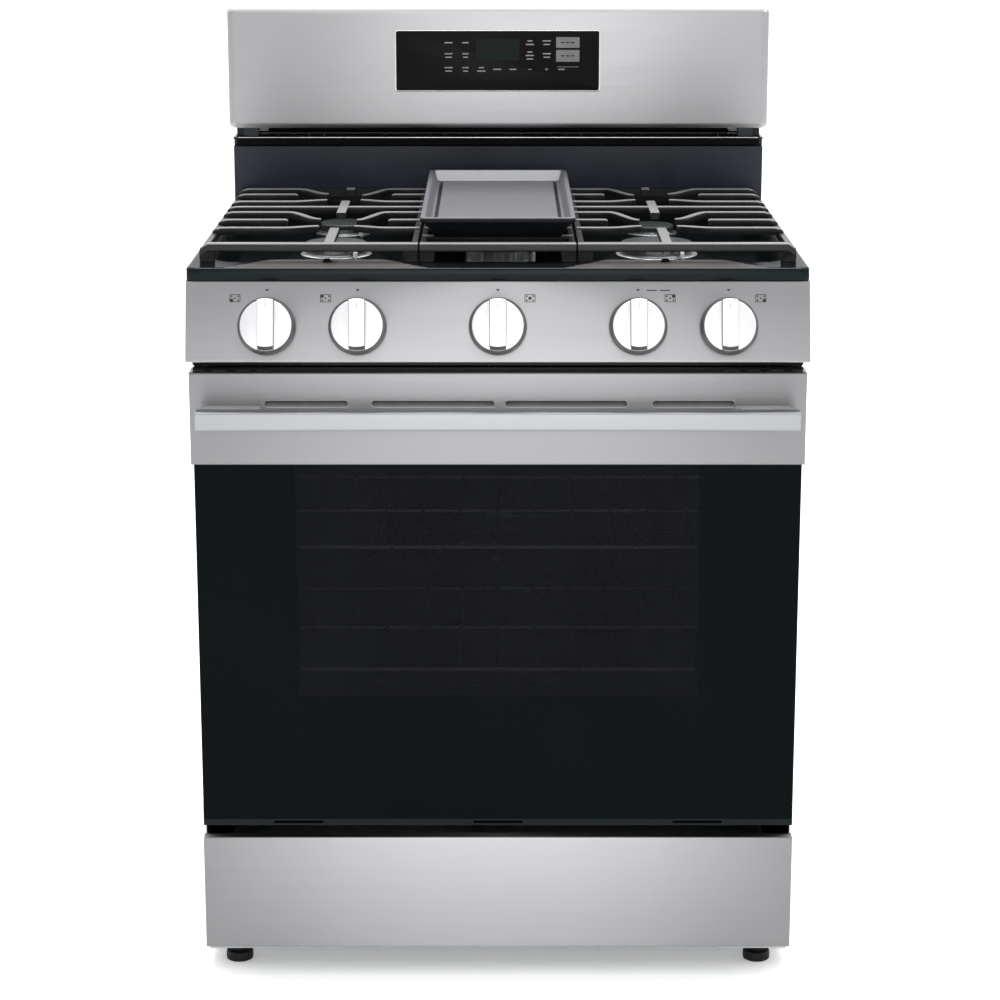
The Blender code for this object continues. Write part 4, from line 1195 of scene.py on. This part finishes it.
def tongue(name, centre, b_span, end_drop, end_share, width):
    """Wider bar that points at a burner along its centre line."""
    b0, b1 = b_span
    path = [(centre, b0, 0.0006, 0.9), (centre, b0 + 0.002, 0.0, 1.0)]
    path += [(centre, b1 - 0.003, 0.0, 1.0), (centre, b1, end_drop, end_share)]
    return bar(name, path, width=width, round_top=0.0016)


def finish_grate(name, side, x_span, pieces):
    """Join a grate's bars, rails and legs, and give it its two finishes: the cast iron, and a lighter copy
    painted as light on the tops.
    """
    pieces += legs(name, x_span)
    grate = united(front_bar(f"pot_support_{name}", x_span, side), *pieces, sharp=40.0)
    mark_lit_tops(grate)
    finish(grate, f"grate_{name}", "cast_iron", "cast_top", replaces=(f"grate_{name}",))


def make_side_grate(name, side):
    """Cast pot support with four pairs of curved fingers and two pairs of short bars."""
    xs, _, _ = extent(f"grate_{name}")
    outer, inner = (xs[0], xs[1]) if side < 0 else (xs[1], xs[0])
    edge_out, edge_in = outer - side * 0.002, inner + side * 0.002
    pieces = []
    for row, (b, bend_out, tip_out, bend_in, tip_in) in enumerate(FINGERS):
        tip = (side * tip_out[0], tip_out[1])
        pieces.append(bar(f"{name}_outer_{row}", finger(edge_out, -side, True, side * bend_out, b, tip)))
        tip = (side * tip_in[0], tip_in[1])
        pieces.append(bar(f"{name}_inner_{row}", finger(edge_in, side, False, side * bend_in, b, tip)))
    for row, (b, end_out, end_in) in enumerate(STUBS):
        pieces.append(bar(f"{name}_outer_stub_{row}", straight(edge_out, -side, True, side * end_out, b)))
        pieces.append(bar(f"{name}_inner_stub_{row}", straight(edge_in, side, False, side * end_in, b)))
    middle = dropped_start(edge_out, MIDDLE_B, -side)
    middle += [(edge_out - side * 0.024, MIDDLE_B, 0.0, 1.0), (edge_in, MIDDLE_B, 0.0, 1.0)]
    pieces.append(bar(f"{name}_middle", middle))
    centre = side * BURNER_LINE
    for row, b_span in enumerate(((0.221, 0.336), (0.481, GRATE_B[1] - 0.0002))):
        pieces.append(tongue(f"{name}_tongue_{row}", centre, b_span, 0.001, 0.95, 0.0125))
    path = [(centre, GRATE_B[0] + 0.0004, 0.0006, 0.9), (centre, 0.079, 0.0, 1.0)]
    path += [(centre, 0.096, 0.0, 1.0), (centre, 0.098, 0.0012, 0.9)]
    pieces.append(bar(f"{name}_tongue_rear", path, width=0.012, round_top=0.0016))
    rail_x = (outer - side * RAIL_HALF, inner + side * RAIL_HALF)
    for end, x, top in zip(("outer", "inner"), rail_x, (0.9345, 0.9395)):
        pieces.append(rail(f"{name}_rail_{end}", x, RAIL_HALF, RAIL_B, (0.925, top)))
    rear_b = (GRATE_B[0], GRATE_B[0] + 0.006)
    pieces.append(plate(f"{name}_rail_rear", shrunk(xs, 0.0005), rear_b, (0.929, 0.9392), 0.0015))
    finish_grate(name, side, xs, pieces)


CROSS_BARS = (GRATE_B[0] + 0.004, 0.1498, 0.2238, 0.2784, 0.3312, 0.4027, 0.4763, 0.545)


def make_centre_grate():
    """Pot support under the griddle: plain cross bars."""
    xs, _, _ = extent("grate_centre")
    pieces = []
    for row, b in enumerate(CROSS_BARS):
        pieces.append(bar(f"centre_bar_{row}", [(x, b, 0.0, 1.0) for x in shrunk(xs, 0.002)]))
    for index, x in enumerate(shrunk(xs, RAIL_HALF)):
        pieces.append(rail(f"centre_rail_{index}", x, RAIL_HALF, RAIL_B, (0.925, 0.9395)))
    finish_grate("centre", 0, xs, pieces)


def outward(face, x_span, b_span):
    """True if a face looks away from the middle of a plan rectangle, or down."""
    away = Vector((face.center.x - sum(x_span) / 2, face.center.y - from_back(sum(b_span) / 2)))
    return face.normal.xy.dot(away) > 0.0 or face.normal.z < -0.5


# Inset and drop of the tray's section, from its outer side over the lip to its floor
GRIDDLE_SECTION = (
    (0.0095, 0.0135), (0.004, 0.008), (0.0008, 0.0066), (0.0, 0.0054), (0.0, 0.0014),
    (0.0005, 0.0004), (0.0014, 0.0), (0.005, 0.0), (0.006, 0.0005), (0.0068, 0.0016),
    (0.01, 0.012), (0.011, 0.014), (0.0125, 0.015), (0.015, 0.0151), (0.0165, 0.0144),
    (0.0178, 0.0136), (0.02, 0.0134),
)


def make_griddle():
    """Cast tray with a rounded lip, sloping walls and a gutter round its floor; its rear inner wall takes a
    lighter copy (painted light) and its outer faces a darker one (painted shade).
    """
    xs, bs, zs = extent("griddle")
    top = zs[1]
    stations = [(0.018, zs[0])] + [(inset, top - drop) for inset, drop in GRIDDLE_SECTION]
    rings = []
    for inset, z in stations:
        rings.append(in_plan(inset_outline(xs, bs, inset, max(0.009 - inset * 0.3, 0.003)), z))
    tray = skin("griddle_plate", rings, sharp=50.0)
    for face in tray.data.polygons:
        # Outer faces: painted shade; rear inner wall: painted light.
        outside = face.center.z < top - 0.001 and outward(face, xs, bs)
        rear_wall = face.normal.y < -0.5 and face.center.y > from_back(sum(bs) / 2)
        face.material_index = 1 if outside else (2 if rear_wall else 0)
    finish(tray, "griddle", "griddle", "griddle_outside", "griddle_wall", replaces=("griddle",))


# ---------------------------------------------------------------- control panel

PANEL_PROFILE = ((0.632, 0.8077), (0.6956, 0.8077), (0.667, 0.9035), (0.632, 0.9035))
SHEET = 0.002
KNOB_RADIUS = 0.0352
KNOB_FACE_RADIUS = 0.0315
KNOB_SEAT = 0.0075
KNOB_FACE = 0.0205
KNOB_HEIGHT = 0.0285
GRIP_HALF = 0.0104
ICON_SIDE = {"knob_1": -1, "knob_2": -1, "knob_3": 1, "knob_4": 1, "knob_5": 1}
ICON_DOT = {"knob_1": (-1, -1), "knob_2": (-1, 1), "knob_3": (0, 0), "knob_4": (1, 1), "knob_5": (1, -1)}


def knob_places():
    """Frame on each knob's axis: local +Z out of the panel, local +Y up it."""
    places = {}
    for joint in frame["joints"]:
        if joint["name"].startswith("knob_") and joint["name"].endswith("_turn"):
            turn = Vector((0.0, 0.0, 1.0)).rotation_difference(Vector(joint["axis"]))
            places[joint["child"]] = Matrix.Translation(joint["pos_m"]) @ turn.to_matrix().to_4x4()
    return places


FASCIA_HOLLOW = ((0.6, 0.8097), (0.6928, 0.8097), (0.6649, 0.9015), (0.6, 0.9015))
ICON_HALF = (0.0066, 0.0048)
ICON_LINE = 0.0008
ICON_PLACE = (0.039, 0.0352)
BURNER_DOTS = ((-1, -1), (-1, 1), (0, 0), (1, -1), (1, 1))


def icon_outlines(side, marked):
    """Burner mark in local (u, v): a frame and five dots, one of them larger."""
    u, v = side * ICON_PLACE[0], ICON_PLACE[1]
    half_u, half_v = ICON_HALF
    line = ICON_LINE
    across = (u - half_u, u + half_u)
    lines = [outline(across, (v + half_v - line, v + half_v))]
    lines.append(outline(across, (v - half_v, v - half_v + line)))
    for end in (-1, 1):
        edge = u + end * (half_u - line / 2)
        lines.append(outline((edge - line / 2, edge + line / 2), (v - half_v + line, v + half_v - line)))
    for dot in BURNER_DOTS:
        half = 0.0019 if dot == marked else 0.001
        at_u, at_v = u + dot[0] * 0.004, v + dot[1] * 0.0024
        lines.append(outline((at_u - half, at_u + half), (at_v - half, at_v + half), half * 0.6, 3))
    return lines


def make_control_panel(places):
    """Folded stainless fascia with its stem holes and printed marks."""
    xs, _, _ = extent("control_panel")
    panel = prism("control_fascia", filleted(PANEL_PROFILE, 0.0022), xs)
    hollow = prism("fascia_hollow", FASCIA_HOLLOW, shrunk(xs, SHEET))
    bore = [(0.007, -0.02), (0.007, 0.02)]
    holes = [turned(f"hole_{name}", bore, place, 32) for name, place in places.items()]
    eased(carved(panel, hollow, *holes), 0.0006, 2)
    finish(panel, "range", "stainless", replaces=("control_panel",))

    marks = []
    for name, place in places.items():
        lines = [[(-0.0024, 0.0464), (0.0024, 0.0464), (0.0, 0.0434)]]
        lines += icon_outlines(ICON_SIDE[name], ICON_DOT[name])
        marks += [(place, line) for line in lines]
    for start in (0.0105, 0.0265):
        marks.append((places["knob_4"], outline((start, start + 0.0125), (0.0442, 0.0455))))
    prints = []
    for place, line in marks:
        prints.append([[place @ Vector(point) for point in ring] for ring in raised(line, -0.0002, 0.00008)])
    shells("panel_marks", "range", "print_black", prints)


# Half section of the flared skirt: radius less the knob's or the face's, height over its base
SKIRT = ((-0.003, 0.0), (-0.0008, 0.0003), (0.0, 0.0014), (-0.0002, 0.0026), (-0.002, 0.005))
FACE_EDGE = ((0.0006, -0.003), (0.0001, -0.0012), (-0.0003, -0.0005), (-0.0009, -0.0001), (-0.0014, 0.0))
GRIP_DRAFT = 0.0072


def make_knob(name, place):
    """Flared skirt, face and a raised grip with a stepped lower end; the outward faces take a lit copy of the
    metal, and the sides and the face's low rim a dark copy: painted light and shade.
    """
    skirt = [(KNOB_RADIUS + grow, KNOB_SEAT + rise) for grow, rise in SKIRT]
    skirt += [(KNOB_FACE_RADIUS + grow, KNOB_FACE + rise) for grow, rise in FACE_EDGE]
    knob = turned(f"{name}_shell", skirt, Matrix.Identity(4), 128)
    inner = GRIP_HALF - 0.0011
    rings = []
    for u in (-GRIP_HALF, -inner, -0.005, 0.0, 0.005, inner, GRIP_HALF):
        drop = GRIP_DRAFT if abs(u) == GRIP_HALF else 0.0
        edge = math.sqrt((KNOB_FACE_RADIUS + 0.0003) ** 2 - u * u)
        step = edge - 0.005
        side = [(-edge, KNOB_FACE - 0.004), (edge, KNOB_FACE - 0.004), (edge, KNOB_HEIGHT - 0.0015)]
        side += [(edge - 0.0012, KNOB_HEIGHT), (-step, KNOB_HEIGHT)]
        side += [(-step - 0.001, KNOB_HEIGHT - 0.0016), (-edge, KNOB_FACE - 0.003)]
        rings.append([(u, v, max(h - drop, KNOB_FACE) if h > KNOB_FACE else h) for v, h in side])
    united(knob, skin(f"{name}_grip", rings), sharp=30.0)
    # Outward faces take the lit copy; the sides and the face's low rim under the grip take the dark copy:
    # painted light and shade.
    for face in knob.data.polygons:
        shaded_low_rim = face.center.y < -KNOB_FACE_RADIUS * 0.9 and abs(face.center.x) < GRIP_HALF
        face.material_index = 0 if face.normal.z > 0.65 and not shaded_low_rim else 1
    knob.data.transform(place)
    finish(knob, name, "knob_face", "knob_side", replaces=(name,))
    # The pointer line takes the dark copy too.
    line = outline((-0.0004, 0.0004), (0.0205, 0.0262), 0.0003, 2)
    pointer = skin(f"{name}_pointer", raised(line, KNOB_HEIGHT - 0.0003, KNOB_HEIGHT + 0.00005))
    pointer.data.transform(place)
    finish(pointer, name, "knob_side")


# ---------------------------------------------------------------- door

BAND_SLOTS = ((-0.285, -0.183), (-0.154, -0.004), (0.009, 0.158), (0.189, 0.289))
SLOT_Z = (0.7503, 0.7583)
WINDOW_HALF = 0.25
WINDOW_Z = (0.378, 0.6735)
CAP_HEIGHT = 0.0005


SLOT_RADIUS = 0.0036
# Growth and distance in front of the band along a slot rim's section
RIM_SECTION = ((-0.0003, -0.0015), (-0.0003, 0.0002), (0.0004, 0.0004), (0.0009, 0.0001), (0.0009, -0.0002))
CAP_DASHES = ((0.359, 0.3765), (0.3325, 0.3495), (0.304, 0.322), (0.2775, 0.2946))
DASH_B = (0.6682, 0.6698)


def folded_front(name, profile, x_span, rear, box, wall, tools=()):
    """Folded sheet front: a prism hollowed from behind, with small edges."""
    front = prism(name, profile, x_span)
    (_, b_front), z_span = box
    inner = outline((rear, b_front - wall), z_span)
    hollow = prism(f"{name}_hollow", inner, shrunk(x_span, wall))
    return carved(front, hollow, *tools)


def make_door_band():
    """Stainless band with four grip slots and a black cap along its top."""
    xs, bs, zs = extent("door_band")
    top = zs[1] - CAP_HEIGHT
    front = bs[1]
    wall = 0.002
    slots = []
    for index, span in enumerate(BAND_SLOTS):
        line = outline(span, SLOT_Z, SLOT_RADIUS, 6)
        slots.append(skin(f"slot_{index}", [in_front(line, 0.66), in_front(line, 0.7)]))
    profile = filleted(outline(bs, (zs[0], top)), 0.0022)
    band = folded_front("door_band_shell", profile, xs, 0.6, (bs, (0.6, top - wall)), wall, slots)
    # The band takes a darker copy of the stainless: painted shade, darker still towards its ends.
    finish(eased(band, 0.0005, 2), "door", "stainless_band", replaces=("door_band",))

    rims, pockets = [], []
    inner = front - wall - 0.0003
    slope = [(inner, SLOT_Z[0] - 0.002), (inner, SLOT_Z[0] - 0.0004)]
    slope += [(front - 0.0078, SLOT_Z[1] - 0.0014), (front - 0.009, SLOT_Z[1] - 0.002)]
    for span in BAND_SLOTS:
        rings = []
        for grow, proud in RIM_SECTION:
            rings.append(in_front(inset_outline(span, SLOT_Z, -grow, SLOT_RADIUS + grow), front + proud))
        rims.append(rings)
        pockets.append([in_side(slope, x) for x in shrunk(span, -0.003)])
    shells("band_slot_rims", "door", "stainless", rims, closed=True)
    shells("band_slot_floors", "door", "slot_shade", pockets)

    b_span = (bs[0] + 0.002, front - 0.0022)
    cap = slab("door_cap", shrunk(xs, 0.001), b_span, (top - 0.0002, zs[1]), 0.002)
    finish(cap, "door", "black_enamel")
    dashes = []
    for side in (-1, 1):
        for near, far in CAP_DASHES:
            line = outline(tuple(sorted((side * near, side * far))), DASH_B, 0.0006, 2)
            dashes.append([in_plan(line, zs[1] - 0.0002), in_plan(line, zs[1] + 0.0001)])
    shells("door_cap_slots", "door", "slot_shade", dashes)


def make_door_glass():
    """Front glass: black-printed border round a tinted window."""
    xs, bs, zs = extent("door_glass")
    edge = 0.0004
    stations = ((0.0, bs[0]), (0.0, bs[1] - edge), (edge, bs[1]))
    rings = [in_front(inset_outline(xs, zs, inset), b) for inset, b in stations]
    window = outline((-WINDOW_HALF, WINDOW_HALF), WINDOW_Z)
    rings += [in_front(window, bs[1]), in_front(window, bs[0])]
    finish(skin("door_front_glass", rings, closed=True), "door", "door_glass", replaces=("door_glass",))
    gap = 0.00005
    span = shrunk((-WINDOW_HALF, WINDOW_HALF), gap)
    pane = plate("door_window", span, (bs[1] - 0.0012, bs[1]), shrunk(WINDOW_Z, gap))
    finish(pane, "door", "window_glass")


HANDLE_BACK = 0.713
# Plan of a post on the right side, from the bar to the band
POST_PLAN = ((0.362, 0.7135), (0.302, 0.7135), (0.29, 0.6818), (0.355, 0.6818))


def make_handle():
    """Flat-faced bar on two wedge-shaped posts."""
    xs, bs, zs = extent("door_handle")
    front = bs[1]
    profile = [(HANDLE_BACK, zs[0]), (front - 0.0012, zs[0]), (front, zs[0] + 0.003)]
    profile += [(front, zs[1] - 0.0018), (front - 0.0022, zs[1]), (HANDLE_BACK, zs[1])]
    handle = eased(prism("handle_bar", filleted(profile, 0.0018), xs), 0.0006, 2)
    finish(handle, "door", "handle_steel", replaces=("door_handle",))
    for name, side in (("left", -1), ("right", 1)):
        plan = [(side * x, b) for x, b in POST_PLAN]
        post = skin(f"handle_post_{name}", [in_plan(plan, z) for z in shrunk(zs, 0.0022)])
        finish(eased(post, 0.0008, 2), "door", "handle_post_steel")


def make_seal():
    """Woven seal round the oven's mouth."""
    line = in_front(resampled(outline((-0.318, 0.318), (0.2245, 0.779), 0.03, 8), 0.02), 0.6302)
    seal = skin("oven_seal", tube_rings(line, 0.0026, 12, closed=True), closed=True)
    finish(seal, "range", "seal_rope")


# ---------------------------------------------------------------- drawer, racks and body

RACKS = {"upper": 0.552, "lower": 0.3897}
RACK_HALF = 0.3005
RACK_B = (0.215, 0.603)


def make_drawer():
    """Drawer front with folded edges."""
    xs, bs, zs = extent("drawer_front")
    wall = 0.002
    profile = filleted(outline(bs, zs), 0.0024)
    front = folded_front("drawer_face", profile, xs, 0.64, (bs, shrunk(zs, wall)), wall)
    # The drawer takes a lighter copy of the stainless, with painted shade towards its ends.
    finish(eased(front, 0.0006, 2), "drawer", "stainless_drawer", replaces=("drawer_front",))


RACK_WIRES = 13


def make_rack(name, height):
    """Wire shelf: a bent frame wire, lengthwise rods and a cross wire; the rods take a dark copy of the
    wire's steel, painted shade.
    """
    thick, thin = 0.0024, 0.0018
    (x0, x1), (b0, b1) = shrunk((-RACK_HALF, RACK_HALF), thick), shrunk(RACK_B, thick)
    middle = sum(RACK_B) / 2
    line = outline((x0, x1), (b0, b1), 0.012, 8)
    work = bmesh.new()
    add_skin(work, tube_rings(in_plan(line, height), thick, 12, closed=True), closed=True)
    path = [(x0, middle), (0.0, middle), (x1, middle)]
    add_skin(work, tube_rings(in_plan(path, height - 0.0006), thin, 10))
    shelf = published(f"wire_shelf_{name}", work)
    finish(shelf, f"rack_{name}", "rack_wire", replaces=(f"oven_rack_{name}",))
    rods = []
    for index in range(1, RACK_WIRES - 1):
        x = (RACK_HALF - 0.0025) * (2 * index / (RACK_WIRES - 1) - 1)
        path = [(x, b0), (x, middle), (x, b1)]
        rods.append(tube_rings(in_plan(path, height + 0.0004), thin, 10))
    # The rods take the dark copy of the wire: painted shade.
    shells(f"shelf_rods_{name}", f"rack_{name}", "rack_rod", rods)


THREAD_START = 0.0172
THREAD_TURNS = 22


def pad_grip(angle, height):
    """Ribs round the side of a foot's pad."""
    return -0.0007 * (0.5 + 0.5 * math.cos(angle * 24)) if 0.0028 < height < 0.0104 else 0.0


def make_feet():
    """Threaded levelling feet with a ribbed pad."""
    for end in ("rear_left", "rear_right", "front_left", "front_right"):
        xs, bs, zs = extent(f"foot_{end}")
        radius = (xs[1] - xs[0]) / 2
        profile = [(radius - 0.0022, 0.0), (radius - 0.0004, 0.001), (radius, 0.003), (radius, 0.0102)]
        profile += [(radius - 0.0012, 0.0122), (0.0105, 0.013), (0.0105, 0.0165), (0.006, 0.017)]
        pitch = (zs[1] - THREAD_START) / THREAD_TURNS
        for turn in range(THREAD_TURNS):
            z = THREAD_START + pitch * turn
            profile += [(0.006, z), (0.0052, z + pitch * 0.5)]
        profile.append((0.0052, zs[1]))
        foot = turned(f"levelling_{end}", profile, standing(sum(xs) / 2, sum(bs) / 2), 96, pad_grip)
        finish(foot, "range", "black_plastic", replaces=(f"foot_{end}",))


# Inset, depth under the outer face and corner radius of the pressed field's edge
FIELD_EDGE = ((0.048, 0.0, 0.02), (0.0505, 0.0003, 0.018), (0.054, 0.0011, 0.016), (0.0565, 0.0013, 0.015))
SIDE_SCREWS = ((0.02, 0.05), (0.02, 0.46), (0.02, 0.88), (0.61, 0.05), (0.61, 0.88))


def make_sides():
    """Painted side sheets with a pressed field and their screws."""
    for name, side in (("left", -1), ("right", 1)):
        xs, bs, zs = extent(f"side_panel_{name}")
        inner, outer = (xs[1], xs[0]) if side < 0 else (xs[0], xs[1])
        square = 0.0004
        stations = [(0.0, inner, square), (0.0, outer - side * 0.0005, square), (0.0005, outer, square)]
        stations += [(inset, outer - side * depth, radius) for inset, depth, radius in FIELD_EDGE]
        rings = [in_side(inset_outline(bs, zs, inset, radius), x) for inset, x, radius in stations]
        sheet = skin(f"side_sheet_{name}", rings, sharp=25.0)
        finish(sheet, "range", "black_paint", replaces=(f"side_panel_{name}",))
        turn = Matrix.Rotation(side * math.pi / 2, 4, "Y")
        for index, (b, z) in enumerate(SIDE_SCREWS):
            place = Matrix.Translation((outer - side * 0.0002, from_back(b), z)) @ turn
            screw(f"side_screw_{name}_{index + 1}", place, 0.0036, "range", "black_plastic")


def rear_screws(name, columns, rows, b, radius):
    """Grid of screws seen from behind."""
    places = [(x, z) for x in columns for z in rows]
    for index, (x, z) in enumerate(places):
        screw(f"{name}_{index + 1}", facing_back(x, b, z), radius, "range")


def make_back():
    """Screws, louvres and a blank rating plate on the rear sheets."""
    _, bs, _ = extent("back_panel")
    rear = bs[0]
    louvres = []
    for column in (-0.15, 0.15):
        for row in range(9):
            z = 0.56 + 0.018 * row
            profile = [(rear + 0.0003, z), (rear - 0.0026, z + 0.0004)]
            profile += [(rear - 0.003, z + 0.0012), (rear + 0.0003, z + 0.0095)]
            louvres.append([in_side(profile, column - 0.055), in_side(profile, column + 0.055)])
    shells("back_louvres", "range", "galvanised", louvres)
    rear_screws("back_screw", (-0.362, 0.0, 0.362), (0.075, 0.48, 0.89), rear + 0.0002, 0.0036)
    _, cbs, czs = extent("backguard_cover")
    rear_screws("cover_screw", (-0.355, 0.0, 0.355), shrunk(czs, 0.012), cbs[0] + 0.0024, 0.0034)
    blank = plate("rating_plate", (0.09, 0.19), (rear - 0.0003, rear + 0.0002), (0.4, 0.465), 0.003)
    finish(blank, "range", "ceramic")


LAMP_RIM = ((0.024, 0.0), (0.024, 0.003), (0.022, 0.0045), (0.019, 0.0045), (0.0185, 0.003))
LAMP_LENS = (
    (0.018, 0.0025), (0.018, 0.008), (0.0165, 0.013),
    (0.012, 0.0175), (0.006, 0.0198), (0.0015, 0.0203),
)


def make_lamp():
    """Oven lamp in the rear wall of the cavity."""
    place = facing_front(-0.23, 0.1503, 0.7)
    finish(turned("lamp_rim", LAMP_RIM, place, 64), "range", "turned_steel")
    finish(turned("lamp_lens", LAMP_LENS, place, 64), "range", "lamp_glass")


def make_gap_backing():
    """Black strip behind the gap between the control panel and the door."""
    strip = plate("gap_strip", (-0.3765, 0.3765), (0.6395, 0.6415), (0.7945, 0.8073), 0.001)
    finish(strip, "range", "black_enamel")


# ---------------------------------------------------------------- studio


def make_studio():
    """Pale floor, soft boxes and a near-white world."""
    floor = skin("studio_floor", turned_rings([(60.0, 0.0), (60.0, -0.02)], 96))
    settings = {"Specular_IOR_Level": 0.0, "Emission_Strength": 0.24}
    pale = principled("studio_floor", (0.93, 0.93, 0.93), 0.9, 0.0, **settings)
    mottle = noise(pale, (3.0,) * 3, 3.0)
    feed(pale, "Base Color", shaded(pale, mottle, (0.3, (0.925,) * 3), (0.7, (0.935,) * 3)))
    floor.data.materials.append(pale)

    world = bpy.data.worlds.new("studio")
    SCENE.world = world
    world.use_nodes = True
    tree = world.node_tree
    light = tree.nodes["Background"]
    light.inputs["Color"].default_value = (0.985, 0.992, 1.0, 1.0)
    place = tree.nodes.new("ShaderNodeTexCoord")
    towards = tree.nodes.new("ShaderNodeVectorMath")
    towards.operation = "DOT_PRODUCT"
    towards.inputs[1].default_value = SKY_TOWARDS
    tree.links.new(place.outputs["Generated"], towards.inputs[0])
    ramp = tree.nodes.new("ShaderNodeMapRange")
    for key, value in zip(("From Min", "From Max", "To Min", "To Max"), (-0.6, 1.0, *SKY_RANGE)):
        ramp.inputs[key].default_value = value
    tree.links.new(towards.outputs["Value"], ramp.inputs["Value"])
    tree.links.new(ramp.outputs["Result"], light.inputs["Strength"])
    backdrop = tree.nodes.new("ShaderNodeBackground")
    path = tree.nodes.new("ShaderNodeLightPath")
    mix = tree.nodes.new("ShaderNodeMixShader")
    tree.links.new(path.outputs["Is Camera Ray"], mix.inputs["Fac"])
    tree.links.new(light.outputs[0], mix.inputs[1])
    tree.links.new(backdrop.outputs[0], mix.inputs[2])
    tree.links.new(mix.outputs[0], tree.nodes["World Output"].inputs["Surface"])

    target = Vector((0.0, 0.0, 0.62))
    for name, place, size, watts in SOFT_BOXES:
        data = bpy.data.lights.new(name, "AREA")
        data.shape = "RECTANGLE"
        data.size, data.size_y = size
        data.energy = watts
        box = bpy.data.objects.new(name, data)
        SCENE.collection.objects.link(box)
        box.visible_camera = False
        box.location = place
        box.rotation_euler = (target - box.location).to_track_quat("-Z", "Y").to_euler()
    SCENE.view_settings.view_transform = "Standard"


SKY_TOWARDS = (0.15, 0.45, 0.85)
SKY_RANGE = (0.45, 1.75)
SOFT_BOXES = (
    ("front", (0.0, -4.4, 1.25), (1.2, 2.5), 27.0),
    ("key", (2.6, -2.6, 2.8), (1.6, 1.6), 10.0),
    ("top", (0.0, 0.9, 3.0), (2.6, 1.2), 80.0),
)
CAMERA_PLACE = (0.0026, -3.5678, 1.4362)
CAMERA_PITCH = math.radians(13.864)
CAMERA_LENS = 97.92


def make_camera():
    data = bpy.data.cameras.new("camera")
    data.lens = CAMERA_LENS
    data.sensor_width = 36.0
    camera = bpy.data.objects.new("camera", data)
    SCENE.collection.objects.link(camera)
    camera.location = CAMERA_PLACE
    camera.rotation_euler = (math.pi / 2 - CAMERA_PITCH, 0.0, 0.0)
    SCENE.camera = camera


def main():
    finish_frame()
    make_backguard()
    make_vent_details()
    make_cooktop()
    for name, (x, b, radius, heights) in burner_places().items():
        make_round_burner(name, x, b, radius, heights)
    make_centre_burner()
    make_side_grate("left", -1)
    make_side_grate("right", 1)
    make_centre_grate()
    make_griddle()
    places = knob_places()
    make_control_panel(places)
    for name, place in places.items():
        make_knob(name, place)
    make_door_band()
    make_door_glass()
    make_handle()
    make_seal()
    make_drawer()
    for name, height in RACKS.items():
        make_rack(name, height)
    make_feet()
    make_sides()
    make_back()
    make_lamp()
    make_gap_backing()
    make_studio()
    make_camera()


main()
